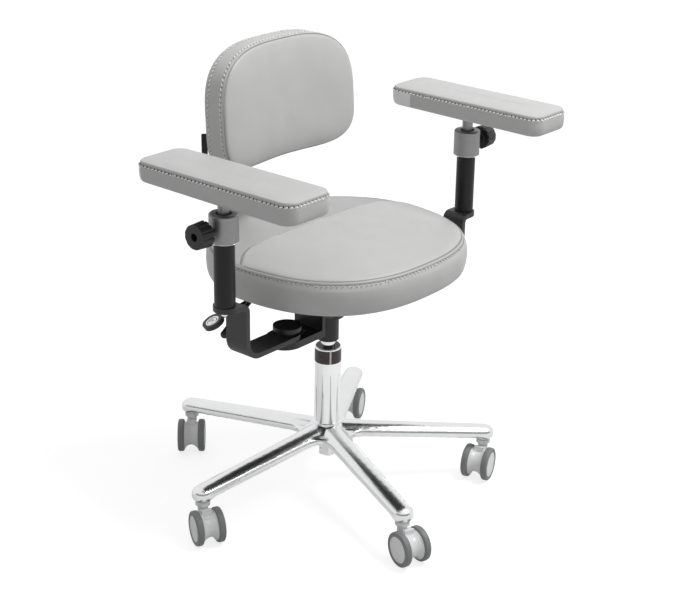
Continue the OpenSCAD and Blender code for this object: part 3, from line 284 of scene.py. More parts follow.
NODE_MATERIALS = {
    "star_base": "alloy", "column_tube": "chrome", "column_bush": "gloss", "hub_cap": "alloy",
    "piston_rod": "chrome", "rod_sleeve": "enamel", "seat_mechanism": "enamel", "seat_board": "backing",
    "arm_carriers": "enamel", "height_lever": "plastic", "tilt_lever": "plastic",
    "back_bar": "enamel", "back_slider": "plastic", "back_knob": "plastic",
    "clamp_bolt": "zinc", "disc_knob": "plastic", "strap": "strap_enamel", "tube": "tube_enamel",
    "collar": "satin", "side_knob": "plastic", "post": "post", "pad_plate": "enamel",
    "housing": "housing", "tyre": "tread", "rim": "rim",
}


def dress_nodes():
    """Gives every CAD node that stays its material, found by its name or the end of it."""
    for name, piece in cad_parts.items():
        key = next((k for k in NODE_MATERIALS if name == k or name.endswith("_" + k)), None)
        if key is None:
            continue
        for slot in piece.material_slots:
            slot.material = MATERIALS[NODE_MATERIALS[key]]


CAST_VOXEL = 1.8
CAST_SMOOTHING = 40


def smooth_casting():
    """Rounds the edges of the base, which is one casting, and smooths its facets."""
    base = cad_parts["star_base"]
    remesh = base.modifiers.new("casting", "REMESH")
    remesh.mode = "VOXEL"
    remesh.voxel_size = CAST_VOXEL * MM
    remesh.use_smooth_shade = True
    smooth = base.modifiers.new("smoothing", "SMOOTH")
    smooth.factor = 0.5
    smooth.iterations = CAST_SMOOTHING


# Outlines and meshes

OUTLINE_SAMPLES = 4096
RING_SLACK = 1.6
FEWEST_COLUMNS = 16


def unit(vector):
    return vector / max(np.linalg.norm(vector), TINY)


def grown(distance, height, reach):
    """0 at no distance, rising to the height with the distance."""
    return height * (1 - np.exp(-distance / reach))


def groove(distance, width):
    return np.exp(-(distance / width) ** 2)


def smooth_rows(rows, steps=3):
    """A smooth curve through rows of numbers, with steps points to each stretch."""
    rows = np.array(rows, float)
    ends = np.vstack([2 * rows[0] - rows[1], rows, 2 * rows[-1] - rows[-2]])
    out = []
    for a, b, c, d in zip(ends, ends[1:], ends[2:], ends[3:]):
        for t in np.arange(steps) / steps:
            out.append(b + 0.5 * t * (c - a + t * (2 * a - 5 * b + 4 * c - d + t * (3 * (b - c) + d - a))))
    return np.array(out + [rows[-1]])


def turns():
    """The cosines and sines of a full turn in small steps."""
    t = np.arange(OUTLINE_SAMPLES) * FULL_TURN / OUTLINE_SAMPLES
    return np.cos(t), np.sin(t)


def rounded_outline(half, up, down, up_power, down_power):
    """Dense points of an outline with its own reach and power above and below its widest line."""
    c, s = turns()
    p = np.where(s > 0, up_power, down_power)
    r = (np.abs(c) ** p + np.abs(s) ** p) ** (-1 / p)
    return np.stack([half * r * c, np.where(s > 0, up, down) * r * s], 1)


def box_outline(width, length, corner):
    """Dense points of a rectangle with round corners."""
    straight = np.stack(turns(), 1)
    reach = 1 / np.maximum(np.abs(straight[:, 0]) / (width / 2), np.abs(straight[:, 1]) / (length / 2))
    edge = straight * reach[:, None]
    side = np.array([width / 2 - corner, length / 2 - corner])
    core = np.clip(edge, -side, side)
    away = edge - core
    size = np.linalg.norm(away, axis=1)
    return core + away / np.maximum(size, TINY)[:, None] * corner


def closed_row(points):
    """The points with the first one again at their end, and how far along the row each of them lies."""
    closed = np.vstack([points, points[:1]])
    return closed, np.concatenate([[0], np.cumsum(np.linalg.norm(np.diff(closed, axis=0), axis=1))])


def evenly(points, count):
    """count even points of a closed outline, with their outward normals and the outline's length."""
    closed, along = closed_row(points)
    at = np.arange(count) * along[-1] / count
    even = np.stack([np.interp(at, along, closed[:, k]) for k in (0, 1)], 1)
    step = np.roll(even, -1, 0) - np.roll(even, 1, 0)
    normal = np.stack([step[:, 1], -step[:, 0]], 1)
    return even, normal / np.linalg.norm(normal, axis=1)[:, None], along[-1]


def stitched(count, length):
    """How far along an outline each of its even points lies, and the exact pitch of its stitches."""
    return np.arange(count) * length / count, length / round(length / STITCH_PITCH)


def normals_of(points):
    """Outward unit normals of a grid of rings."""
    around = np.roll(points, -1, 1) - np.roll(points, 1, 1)
    along = np.gradient(points, axis=0)
    out = np.cross(around, along)
    return out / np.maximum(np.linalg.norm(out, axis=2), TINY)[:, :, None]


def ring_steps(points, spacing):
    """How many columns each ring skips, a power of two, so that its points are no closer than spacing."""
    count = points.shape[1]
    steps = []
    for ring in points:
        gap = np.mean(np.linalg.norm(np.roll(ring, -1, 0) - ring, axis=1))
        step = 1
        while gap * step * 2 < spacing * RING_SLACK and count % (step * 2) == 0:
            if count // step <= FEWEST_COLUMNS:
                break
            step *= 2
        steps.append(step)
    for i in range(1, len(steps)):
        steps[i] = min(steps[i], steps[i - 1] * 2)
    for i in range(len(steps) - 2, -1, -1):
        steps[i] = min(steps[i], steps[i + 1] * 2)
    return steps


def band_faces(low, high):
    """Faces between two rings of vertex numbers, where one ring may have twice the points of the other."""
    n, m = len(low), len(high)
    k = min(n, m)
    faces = []
    for j in range(k):
        a = [low[(j * (n // k) + i) % n] for i in range(n // k + 1)]
        b = [high[(j * (m // k) + i) % m] for i in range(m // k + 1)]
        faces.append(a + b[::-1])
    return faces


def faces_of(rings, ring=False):
    """The faces between rings of vertex numbers, closed at both ends, or from the last ring to the first."""
    faces = []
    around = rings + rings[:1] if ring else rings
    for low, high in zip(around, around[1:]):
        faces.extend(band_faces(low, high))
    return faces if ring else faces + [rings[0][::-1], rings[-1]]


def joined(name, verts, faces, smooth=True):
    """One piece from a list of vertices in millimetres and faces."""
    mesh = bpy.data.meshes.new(name)
    mesh.from_pydata((np.array(verts) * MM).tolist(), [], faces)
    mesh.polygons.foreach_set("use_smooth", [smooth] * len(mesh.polygons))
    piece = bpy.data.objects.new(name, mesh)
    bpy.context.scene.collection.objects.link(piece)
    return piece


def skin(name, points, crease, spacing):
    """A mesh from rings of points, closed at both ends, with a number per point for the painted shade of its
    creases.
    """
    verts, shade, rings = [], [], []
    for ring, dark, step in zip(points, crease, ring_steps(points, spacing)):
        rings.append(list(range(len(verts), len(verts) + len(ring) // step)))
        verts.extend(ring[::step])
        shade.extend(dark[::step])
    piece = joined(name, verts, faces_of(rings))
    piece.data.validate()
    stored = piece.data.attributes.new("crease", "FLOAT", "POINT")
    stored.data.foreach_set("value", np.array(shade, np.float32))
    return piece


# Swelling of the covers, by a cloth simulation of every few points

CLOTH_FRAMES = 20
CLOTH_EVERY_RING = 3
CLOTH_EVERY_COLUMN = 8
TAUT_WAVES = 5
TAUT_PASSES = 4


def hold(piece, weights, columns):
    """Pins the rings of a cover that lie on a board or in a seam."""
    group = piece.vertex_groups.new(name="held")
    for i, weight in enumerate(weights):
        if weight > 0:
            group.add(list(range(i * columns, (i + 1) * columns)), float(weight), "REPLACE")


def fill_with_air(piece, pressure):
    """Makes a cover a cloth under pressure, without weight."""
    cloth = piece.modifiers.new("Cloth", "CLOTH")
    settings = cloth.settings
    settings.quality = 6
    settings.mass = 0.3
    settings.tension_stiffness = 15
    settings.compression_stiffness = 15
    settings.shear_stiffness = 5
    settings.bending_stiffness = 0.5
    settings.vertex_group_mass = "held"
    settings.use_pressure = True
    settings.uniform_pressure_force = pressure
    settings.effector_weights.gravity = 0.0
    cloth.collision_settings.use_collision = False
    cloth.collision_settings.use_self_collision = False
    cloth.point_cache.frame_start, cloth.point_cache.frame_end = 1, CLOTH_FRAMES


def simulated(piece):
    """The vertices of a piece at the end of its simulation, in millimetres. The piece is removed."""
    scene = bpy.context.scene
    for number in range(1, CLOTH_FRAMES + 1):
        scene.frame_set(number)
    solved = piece.evaluated_get(bpy.context.evaluated_depsgraph_get()).data
    moved = np.empty(len(solved.vertices) * 3)
    solved.vertices.foreach_get("co", moved)
    scene.frame_set(1)
    mesh = piece.data
    bpy.data.objects.remove(piece)
    bpy.data.meshes.remove(mesh)
    return moved.reshape(-1, 3) / MM


def taut(out, free):
    """Leaves of the swelling what a tight cover keeps: slow waves round it, no steps between rings."""
    waves_round = np.fft.rfft(out, axis=1)
    waves_round[:, TAUT_WAVES:] = 0
    out = np.fft.irfft(waves_round, out.shape[1], axis=1)
    for _ in range(TAUT_PASSES):
        out[1:-1] = (out[:-2] + 2 * out[1:-1] + out[2:]) / 4
    return out * free[:, None]


def refine(out, rings, shape):
    """Spreads a coarse grid of numbers over the full grid."""
    columns = np.arange(shape[1]) / CLOTH_EVERY_COLUMN
    round_again = np.concatenate([out, out[:, :1]], 1)
    wide = np.array([np.interp(columns, np.arange(len(ring)), ring) for ring in round_again])
    return np.array([np.interp(np.arange(shape[0]), rings, column) for column in wide.T]).T


def swell(points, held, pressure, cap):
    """How far a cover filled with air stands out of the drawn form, up to the cap."""
    rings = sorted(set(range(0, len(points), CLOTH_EVERY_RING)) | {len(points) - 1})
    start = points[np.array(rings)][:, ::CLOTH_EVERY_COLUMN]
    weights = held[np.array(rings)]
    piece = skin("cover_at_rest", start, np.zeros(start.shape[:2]), 0.0)
    hold(piece, weights, start.shape[1])
    fill_with_air(piece, pressure)
    moved = simulated(piece)[: start.shape[0] * start.shape[1]].reshape(start.shape) - start
    out = np.clip(np.sum(moved * normals_of(start), axis=2), -cap, cap)
    return refine(taut(out, 1 - np.clip(weights, 0, 1)), rings, points.shape)


WAVE_COUNT = 14
WAVE_SIZE = 90
WAVE_HEIGHT = 0.35
WAVE_RANGE = (0.6, 1.6)


def waves(points, seed):
    """Soft unevenness of a hand-sewn cover, the same at every run."""
    random = np.random.default_rng(seed)
    out = np.zeros(points.shape[:2])
    for _ in range(WAVE_COUNT):
        way = random.normal(size=3)
        way *= FULL_TURN / WAVE_SIZE / np.linalg.norm(way) * random.uniform(*WAVE_RANGE)
        out += np.sin(points @ way + random.uniform(0, FULL_TURN))
    return out * WAVE_HEIGHT / math.sqrt(WAVE_COUNT)


# Covers

COVER_SPACING = 2.0
PRESSURE = 1.2
PAD_PRESSURE = 1.5
SWELL_CAP = 3.0
PAD_SWELL_CAP = 2.0
GATHER = 0.3
BACK_GATHER = 0.25
GATHER_FADE = 6
GATHER_WIDTH = 1.6

# How dark the painted shade of a crease is, and how wide: in millimetres, or in shares of the way to the
# centre of the back
CREASE_SHADES = {
    "seat_side": (0.6, 0.6), "seat_panels": (0.95, 1.5), "seat_edge": (0.6, 0.9),
    "back_rear": (0.6, 0.006), "back_rear_edge": (0.5, 0.9), "back_front_edge": (0.6, 0.8),
    "back_front": (0.7, 0.005), "pad_seam": (0.3, 0.7),
}


def creased(distance, kind):
    """How dark the painted shade is at a point at a distance from a crease."""
    dark, width = CREASE_SHADES[kind]
    return dark * groove(distance, width)


class Form:
    """Rings of points, with how dark the painted shade of a crease makes each point and how firmly each ring
    is held.
    """

    def __init__(self):
        self.rings, self.crease, self.held = [], [], []

    def add(self, flat, height, dark, held):
        self.add_ring(np.column_stack([flat, np.zeros(len(flat)) + height]), dark, held)

    def add_ring(self, ring, dark, held):
        self.rings.append(ring)
        self.crease.append(np.zeros(len(ring)) + dark)
        self.held.append(held)


def finish_cover(name, node_name, body, form, pressure, cap):
    """Swells a drawn form, gives it its slight unevenness and sets it in place of its CAD node."""
    points, held = np.array(form.rings), np.array(form.held)
    free = 1 - np.clip(held, 0, 1)[:, None]
    out = swell(points, held, pressure, cap) + waves(points, len(name)) * free
    final = points + normals_of(points) * out[:, :, None]
    piece = skin(name, final, form.crease, COVER_SPACING)
    piece.data.materials.append(MATERIALS["leather"])
    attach(piece, body)
    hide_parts(node_name)
    return piece, final


def second_material(piece, material, chosen):
    """Gives the faces that chosen picks by their centre in millimetres a material of their own."""
    piece.data.materials.append(MATERIALS[material])
    for face in piece.data.polygons:
        if chosen(*(c / MM for c in face.center)):
            face.material_index = 1


def gathers(along, pitch, past):
    """1 at each needle hole and 0 between, along a row of stitches, fading out past the row."""
    fade = math.exp(-past / GATHER_FADE) if past > 0 else groove(past, GATHER_WIDTH)
    return (0.5 + 0.5 * np.cos(FULL_TURN * along / pitch)) * fade


# Stitches: half length and share of the radius along one thread
CAPSULE = ((-1.0, 0.35), (-0.72, 0.86), (0.0, 1.0), (0.72, 0.86), (1.0, 0.35))
CAPSULE_SIDES = 6
CAPSULE_SINK = 0.9
THREAD_LENGTH = 6.8
THREAD_R = 1.35
THREAD_STAND = 0.95
THREAD_SLANT = math.radians(24)
HOLE_LENGTH = 4.4
HOLE_R = 0.95
HOLE_SLANT = math.radians(-48)
HOLE_ASIDE = 1.9
LOOK_AHEAD = 1.5
FINE_STITCH = 0.68
BACK_STITCH = 0.8


def capsules(name, segments, radius, material):
    """A row of short threads, each from a to b with its own up direction, joined in one piece."""
    verts, faces = [], []
    for a, b, up in segments:
        middle, half = (a + b) / 2, (b - a) / 2
        side = unit(np.cross(half, up))
        rise = unit(np.cross(side, half))
        rings = []
        for along, width in CAPSULE:
            rings.append(list(range(len(verts), len(verts) + CAPSULE_SIDES)))
            sink = -CAPSULE_SINK * radius * along * along
            for k in range(CAPSULE_SIDES):
                turn = FULL_TURN * k / CAPSULE_SIDES
                offset = side * math.cos(turn) + rise * math.sin(turn)
                verts.append(middle + half * along + offset * radius * width + rise * sink)
        faces.extend(faces_of(rings))
    piece = joined(name, verts, faces)
    piece.data.materials.append(MATERIALS[material])
    return piece


def stitch_places(points):
    """The points of a closed row that carry a stitch, and the points a little ahead of them."""
    along = closed_row(points)[1]
    count = int(round(along[-1] / STITCH_PITCH))
    at = (np.arange(count) + 0.5) * along[-1] / count
    return [np.searchsorted(along, at + ahead) % len(points) for ahead in (0, LOOK_AHEAD)]


def slanted(centre, way, across, slant, length):
    """The ends of a short line that leans from the way along a seam to the way across it."""
    lean = way * math.cos(slant) + across * math.sin(slant)
    return centre - lean * length / 2, centre + lean * length / 2


def sewn_row(name, surface, row, body, toward=1, weight=1.0, yarn="thread"):
    """Stitches along a ring of a form: a thread, and beside it on the side of the seam a black capsule,
    painted shade of the needle hole.
    """
    points, normals = surface[row], normals_of(surface)[row]
    across = surface[row + 1] - surface[row - 1]
    across *= toward / np.linalg.norm(across, axis=1)[:, None]
    threads, holes = [], []
    for i, j in zip(*stitch_places(points)):
        way, up = unit(points[j] - points[i]), normals[i]
        centre = points[i] + up * THREAD_R * THREAD_STAND
        gap = points[i] + way * STITCH_PITCH / 2 + across[i] * HOLE_ASIDE
        threads.append((*slanted(centre, way, across[i], THREAD_SLANT, THREAD_LENGTH), up))
        # Painted shade of the needle hole, beside the thread.
        holes.append((*slanted(gap, way, across[i], HOLE_SLANT, HOLE_LENGTH), up))
    rows = (("thread", threads, THREAD_R, yarn), ("hole", holes, HOLE_R, "hole"))
    for label, segments, size, look in rows:
        piece = capsules(name + "_" + label, segments, size * weight, look)
        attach(piece, body)


def nearest_row(side, value):
    """Which row of a smooth profile is nearest to a height or depth."""
    return int(np.argmin(np.abs(side[:, 1] - value)))


# Seat. Profiles are rows of how far out and how far up; the underside's are shares of the way to the centre.

SEAT_UNDER = (0.97, 0.9, 0.75, 0.5, 0.3, 0.14, 0.05)
SEAT_UNDER_OUT = -2
SEAT_SIDE = [(-1.5, 0), (1.8, 0.6), (5, 2.6), (7.8, 8), (9.6, 17), (10.5, 29), (10.2, 38), (8.8, 46),
             (6.4, 52), (4.2, 55), (2.9, 56.4), (3.0, 57.6), (3.1, 59), (2.4, 60.6), (0.8, 61.8),
             (-1.2, 62.2)]
SEAT_ROW = 55.0
SEAT_SEAM_UP = 62.2
SEAT_MEAN_R = 222
SEAT_RING = 2.0
SEAT_EDGE_RINGS = [0.7, 1.4, 2.2, 3.2, 4.4, 6.0]
SEAT_PLAIN_FROM = 8.0
SEAT_TOP = SEAT_EDGE_RINGS + list(np.arange(SEAT_PLAIN_FROM, SEAT_MEAN_R - SEAT_PLAIN_FROM, SEAT_RING))
SEAT_CENTRE = np.array([0.0, 20.0])
SEAT_ON_BOARD_UP, SEAT_TIED_UP = 3, 50
SEAT_EDGE, SEAT_EDGE_HELD = 3, 0.6
SEAT_EDGE_CREASE_IN = 0.7
SEAT_BACKING_UP = 0.4
# Painted shade that darkens the seat's rear panel, behind the seam between the panels.
REAR_PANEL_SHADE = 0.22

# The seam between the two panels bends forward beyond a distance from the middle.
PANEL_SEAM_Y = 38
PANEL_BEND = 31
PANEL_BEND_FROM = 168
PANEL_BEND_OVER = 60
PANEL_BEND_POWER = 1.6

# The top of the seat: heights, and the distances over which they are reached
EDGE_UP = 2.2
EDGE_ROLL, EDGE_ROLL_REACH = 2.8, 4.5
CROWN, CROWN_REACH = 9.5, 46
PANELS_FROM_EDGE = 6
FRONT_PUFF, FRONT_PUFF_REACH = 3.4, 9
FRONT_FALL, FRONT_FALL_REACH = 1.2, 70
REAR_FALL, REAR_FALL_REACH = 4.5, 45
PANEL_SEAM_DEPTH, PANEL_SEAM_WIDTH = 2.6, 2.6
SIDE_SEAM_DEPTH, SIDE_SEAM_WIDTH = 0.9, 1.2


def before_panel_seam(flat):
    """How far points are in front of the seam between the two panels of the seat."""
    past = np.clip((np.abs(flat[:, 0]) - PANEL_BEND_FROM) / PANEL_BEND_OVER, 0, 1)
    return PANEL_SEAM_Y - PANEL_BEND * past ** PANEL_BEND_POWER - flat[:, 1]


def seat_rise(ahead, d):
    """Height of the seat's top over its side seam, ahead of the panels' seam and d inward from the side."""
    base = EDGE_UP + grown(d, EDGE_ROLL, EDGE_ROLL_REACH) + grown(d, CROWN, CROWN_REACH)
    puff = grown(ahead, FRONT_PUFF, FRONT_PUFF_REACH) - grown(ahead, FRONT_FALL, FRONT_FALL_REACH)
    front = np.where(ahead > 0, puff, 0)
    rear = np.where(ahead < 0, -grown(-ahead, REAR_FALL, REAR_FALL_REACH), 0)
    panels = front + rear - PANEL_SEAM_DEPTH * groove(ahead, PANEL_SEAM_WIDTH)
    side_seam = SIDE_SEAM_DEPTH * groove(d - SIDE_SEAM_WIDTH, SIDE_SEAM_WIDTH)
    return base + grown(d, 1, PANELS_FROM_EDGE) * panels - side_seam


def seat_form(side):
    """The seat's cover as sewn: underside, side and top."""
    count = GRID_ROUND["seat"]
    dense = rounded_outline(SEAT_HALF_W, SEAT_REAR, SEAT_FRONT, SEAT_REAR_POWER, SEAT_FRONT_POWER)
    outline, normal, length = evenly(dense, count)
    outline = outline + [0, SEAT_MID_Y]
    along, pitch = stitched(count, length)
    form = Form()
    for share in SEAT_UNDER:
        flat = (outline + normal * SEAT_UNDER_OUT) * (1 - share) + SEAT_CENTRE * share
        form.add(flat, SEAT_FOOT_Z, 0, 1.0)
    for out, up in side:
        pull = GATHER * gathers(along, pitch, SEAT_ROW - up)
        held = 1.0 if up < SEAT_ON_BOARD_UP or up > SEAT_TIED_UP else 0.0
        flat = outline + normal * (out - pull)[:, None]
        # Painted shade along the seam at the top of the side.
        form.add(flat, SEAT_FOOT_Z + up, creased(up - SEAT_SEAM_UP, "seat_side"), held)
    for d in SEAT_TOP:
        share = d / SEAT_MEAN_R
        flat = outline * (1 - share) + SEAT_CENTRE * share
        ahead = before_panel_seam(flat)
        # Painted shade: the rear panel is darkened, and so are the seam between the panels and the top's
        # edge.
        panel = np.where(ahead < 0, REAR_PANEL_SHADE, 0.0)
        dark = (creased(ahead, "seat_panels") + panel) * grown(d, 1, SEAT_EDGE)
        dark = dark + creased(d - SEAT_EDGE_CREASE_IN, "seat_edge")
        held = SEAT_EDGE_HELD if d < SEAT_EDGE else 0.0
        form.add(flat, SEAT_FOOT_Z + SEAT_BAND + seat_rise(ahead, d), dark, held)
    return form


def make_seat():
    side = smooth_rows(SEAT_SIDE)
    piece, final = finish_cover("seat_cover", "seat_cushion", "seat_unit", seat_form(side), PRESSURE,
                                SWELL_CAP)
    second_material(piece, "backing", lambda x, y, z: z < SEAT_FOOT_Z + SEAT_BACKING_UP)
    row = len(SEAT_UNDER) + nearest_row(side, SEAT_ROW)
    sewn_row("seat_stitch", final, row, "seat_unit", 1, FINE_STITCH, "fine_thread")


# Back. Rows at its rear and front are shares of the way to the centre and of the crown, those of its side
# how far out and which share of the thickness.

BACK_REAR = [(0.96, 0.5), (0.85, 0.5), (0.7, 0.49), (0.5, 0.47), (0.34, 0.44), (0.22, 0.4), (0.14, 0.34),
             (0.08, 0.26), (0.045, 0.18), (0.02, 0.09), (0.008, 0.03)]
BACK_SIDE = [(1.0, 1.02), (2.4, 1.0), (3.4, 0.95), (3.7, 0.86), (3.5, 0.7), (3.0, 0.5), (2.6, 0.3),
             (2.3, 0.16), (1.6, 0.07), (0.6, 0.02), (-0.8, 0.0)]
BACK_FRONT = [(0.005, -0.02), (0.011, 0.13), (0.018, 0.23), (0.028, 0.31), (0.042, 0.38), (0.06, 0.44),
              (0.085, 0.51), (0.115, 0.58), (0.15, 0.64), (0.19, 0.7), (0.24, 0.76), (0.3, 0.82),
              (0.37, 0.87), (0.45, 0.91), (0.54, 0.94), (0.63, 0.96), (0.72, 0.98), (0.81, 0.99),
              (0.89, 1.0), (0.95, 1.0)]
BACK_REAR_OUT = 1.2
BACK_CROWN = 12
BACK_ROW = 7.2
BACK_ROW_HELD = 4
BACK_FACE_DEEP = 0.05
BACK_REAR_DEEP = 1.01
BACK_EDGE, BACK_EDGE_HELD = 0.012, 0.6
BACK_FRONT_CREASE_IN = 0.004
BACK_DENT, BACK_DENT_WIDTH = 0.9, 1.8


def back_outline():
    """The outline of the back, its lower edge arched upward."""
    dense = rounded_outline(BACK_HALF_W, BACK_UP, BACK_DOWN, BACK_UP_POWER, BACK_DOWN_POWER)
    low = dense[:, 1] < 0
    lift = BACK_RISE * (dense[:, 1] / BACK_DOWN) ** 2 * (1 - (dense[:, 0] / BACK_HALF_W) ** 2)
    dense[:, 1] += np.where(low, lift, 0)
    return evenly(dense, GRID_ROUND["back"])


def from_back(flat, depth):
    """A ring of the back, bent round the sitter and leaning, in the frame of the chair."""
    x, up = flat.T
    depth = depth - BACK_WRAP * (x / BACK_HALF_W) ** 2
    c, s = math.cos(BACK_LEAN), math.sin(BACK_LEAN)
    return np.column_stack([x, BACK_Y + depth * c + up * s, BACK_MID_Z - depth * s + up * c])


def back_form(side):
    """The back's cover as sewn: rear, side with a row of stitches at either edge, and front."""
    outline, normal, length = back_outline()
    along, pitch = stitched(len(outline), length)
    form = Form()
    for share, crown in BACK_REAR:
        ring = from_back((outline + normal * BACK_REAR_OUT) * (1 - share), BACK_THICK + crown * BACK_CROWN)
        form.add_ring(ring, creased(share, "back_rear"), 0.0)
    for out, deep in side:
        depth = deep * BACK_THICK
        front, rear = depth - BACK_ROW, BACK_THICK - BACK_ROW - depth
        pull = BACK_GATHER * (gathers(along, pitch, front) + gathers(along, pitch, rear))
        dent = BACK_DENT * (groove(front, BACK_DENT_WIDTH) + groove(rear, BACK_DENT_WIDTH))
        # Painted shade along both edges of the side.
        rear_edge = creased(depth - BACK_THICK * BACK_REAR_DEEP, "back_rear_edge")
        dark = creased(depth, "back_front_edge") + rear_edge
        held = 1.0 if min(abs(front), abs(rear)) < BACK_ROW_HELD or deep < BACK_FACE_DEEP else 0.0
        form.add_ring(from_back(outline + normal * (out - dent - pull)[:, None], depth), dark, held)
    for share, crown in BACK_FRONT:
        ring = from_back(outline * (1 - share), -crown * BACK_CROWN)
        held = BACK_EDGE_HELD if share < BACK_EDGE else 0.0
        # Painted shade along the front's edge.
        form.add_ring(ring, creased(share - BACK_FRONT_CREASE_IN, "back_front"), held)
    return form


def make_back():
    side = smooth_rows(BACK_SIDE)
    _, final = finish_cover("back_cover", "back_cushion", "back_unit", back_form(side), PRESSURE, SWELL_CAP)
    for label, deep, toward in (("front", BACK_ROW, 1), ("rear", BACK_THICK - BACK_ROW, -1)):
        row = len(BACK_REAR) + nearest_row(side, deep / BACK_THICK)
        sewn_row("back_" + label + "_stitch", final, row, "back_unit", toward, BACK_STITCH)


# Arm pads. The underside's rows are shares of the way to the spine and how far out, the band's how far out
# and up, and the top's how far inward and which share of the crown.

PAD_UNDER = [(0.9, -8), (0.6, -8), (0.3, -8), (0.12, -8), (0.04, -7.6)]
PAD_BAND = [(-6.5, 0), (-3.6, 0.5), (-1.2, 2.2), (0.4, 5), (1.4, 9), (1.9, 14), (1.9, 20), (1.6, 24),
            (1.0, 26.4), (0, 28), (-0.8, 28.9), (-1, 29.7), (-0.7, 30.6), (-0.7, 31.8), (-1.2, 33.2),
            (-2.3, 34.5), (-4, 35.4)]
PAD_SEAM_UP = 28.9
PAD_TOP = [(5.6, 0.18), (7.4, 0.34), (9.4, 0.48), (12, 0.64), (16, 0.76), (21, 0.86), (27, 0.93), (33, 0.97),
           (40, 1.0), (46, 1.0), (50, 1.0)]
PAD_CROWN = 3.4
PAD_ROW = 27.2
PAD_SAG_REAR = 1.0
PAD_SAG_FRONT = 4.5
PAD_SAG_REACH = 0.3
PAD_JOIN_Y = 38
PAD_JOIN_BACK_Y = 76
# The join's groove: how wide, how deep, and how dark its painted shade is.
PAD_JOIN_WIDTH, PAD_JOIN_DEPTH, PAD_JOIN_SHADE = 1.1, 0.5, 0.4
PAD_ON_PLATE_UP, PAD_TIED_UP = 3, 20


def pad_join(side, x, y):
    """How far a point is in front of the join of the band, further forward on the pad's inner side."""
    inner = side * (x - side * PAD_X) < 0
    return np.where(inner, PAD_JOIN_Y, PAD_JOIN_BACK_Y) - y


def pad_form(side, rows):
    """A pad's cover as sewn: a sagging underside, the band with its join, and the top."""
    count = GRID_ROUND["pad"]
    outline, normal, length = evenly(box_outline(PAD_WIDTH, PAD_LENGTH, PAD_CORNER), count)
    along, pitch = stitched(count, length)
    half_spine = (PAD_LENGTH - PAD_WIDTH) / 2
    spine = np.column_stack([np.zeros(count), np.clip(outline[:, 1], -half_spine, half_spine)])
    sag = PAD_SAG_REAR + (PAD_SAG_FRONT - PAD_SAG_REAR) * np.clip(0.5 - outline[:, 1] / PAD_LENGTH, 0, 1)
    place_at = np.array([side * PAD_X, PAD_Y])
    join_ahead = pad_join(side, *(outline + place_at).T)
    form = Form()
    for share, out in PAD_UNDER:
        flat = (outline + normal * out) * (1 - share) + spine * share
        form.add(flat + place_at, PAD_Z - sag * max(0.0, 1 - share / PAD_SAG_REACH), 0, 1.0)
    for out, up in rows:
        pull = GATHER * gathers(along, pitch, PAD_ROW - up)
        join = groove(join_ahead, PAD_JOIN_WIDTH) * (up < PAD_SEAM_UP)
        # Painted shade along the seam and in the join.
        dark = creased(up - PAD_SEAM_UP, "pad_seam") + PAD_JOIN_SHADE * join
        flat = outline + normal * (out - pull - PAD_JOIN_DEPTH * join)[:, None]
        height = PAD_Z + up - sag * max(0.0, 1 - up / PAD_SEAM_UP)
        held = 1.0 if up < PAD_ON_PLATE_UP or up > PAD_TIED_UP else 0.0
        form.add(flat + place_at, height, dark, held)
    for d, crown in PAD_TOP:
        share = d / (PAD_WIDTH / 2)
        height = PAD_Z + (PAD_SIDE + crown * PAD_CROWN)
        form.add(outline * (1 - share) + spine * share + place_at, height, 0.0, 0.0)
    return form


def make_pad(name, side):
    """One arm pad, whose band behind the join is a piece of its own, painted paler as painted reflected
    light.
    """
    rows = smooth_rows(PAD_BAND)
    body = name + "_rest"
    piece, final = finish_cover(name + "_pad_cover", name + "_pad", body, pad_form(side, rows), PAD_PRESSURE,
                                PAD_SWELL_CAP)
    # Painted light: the piece behind the join is painted paler.
    second_material(piece, "panel",
                    lambda x, y, z: PAD_Z < z < PAD_Z + PAD_SEAM_UP and pad_join(side, x, y) < 0)
    row = len(PAD_UNDER) + nearest_row(rows, PAD_ROW)
    sewn_row(name + "_pad_stitch", final, row, body)


# Small parts that the photograph shows on the metal

def lathe(name, profile, material, body, sides=64, ring=False, place_at=(0, 0, 0)):
    """A piece turned from (radius, height) rows in millimetres: a ring, or a form closed at both ends."""
    verts, rings = [], []
    for radius, height in profile:
        rings.append(list(range(len(verts), len(verts) + sides)))
        for k in range(sides):
            turn = FULL_TURN * k / sides
            verts.append([radius * math.cos(turn), radius * math.sin(turn), height])
    piece = joined(name, verts, faces_of(rings, ring))
    piece.data.materials.append(MATERIALS[material])
    piece.data.transform(Matrix.Translation(Vector(place_at) * MM))
    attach(piece, body)
    return piece


ARC_STEPS = 72
BAND_FOOT_Z = 258
BAND_TOP_Z = 284
BAND_CLEAR = 0.05
BAND_R = COLUMN_R + 0.45
STRIP_R = COLUMN_R + 0.25
SLIT_AT = -128.0
SLIT_HALF = 4
STRIP_HALF = 3.9


def arc_shell(name, r_out, start, end, material, body):
    """Part of a thin ring on the column, as high as its label, from angle start to end in degrees."""
    r_in = COLUMN_R + BAND_CLEAR
    section = [(r_in, BAND_FOOT_Z), (r_out, BAND_FOOT_Z), (r_out, BAND_TOP_Z), (r_in, BAND_TOP_Z)]
    n = len(section)
    verts, faces = [], []
    for i in range(ARC_STEPS + 1):
        turn = math.radians(start + (end - start) * i / ARC_STEPS)
        verts.extend([r * math.cos(turn), r * math.sin(turn), z] for r, z in section)
    for i in range(ARC_STEPS):
        a, b = n * i, n * (i + 1)
        faces.extend([a + k, b + k, b + (k + 1) % n, a + (k + 1) % n] for k in range(n))
    faces.append(list(range(n))[::-1])
    faces.append([n * ARC_STEPS + k for k in range(n)])
    piece = joined(name, verts, faces, smooth=False)
    piece.data.materials.append(MATERIALS[material])
    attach(piece, body)


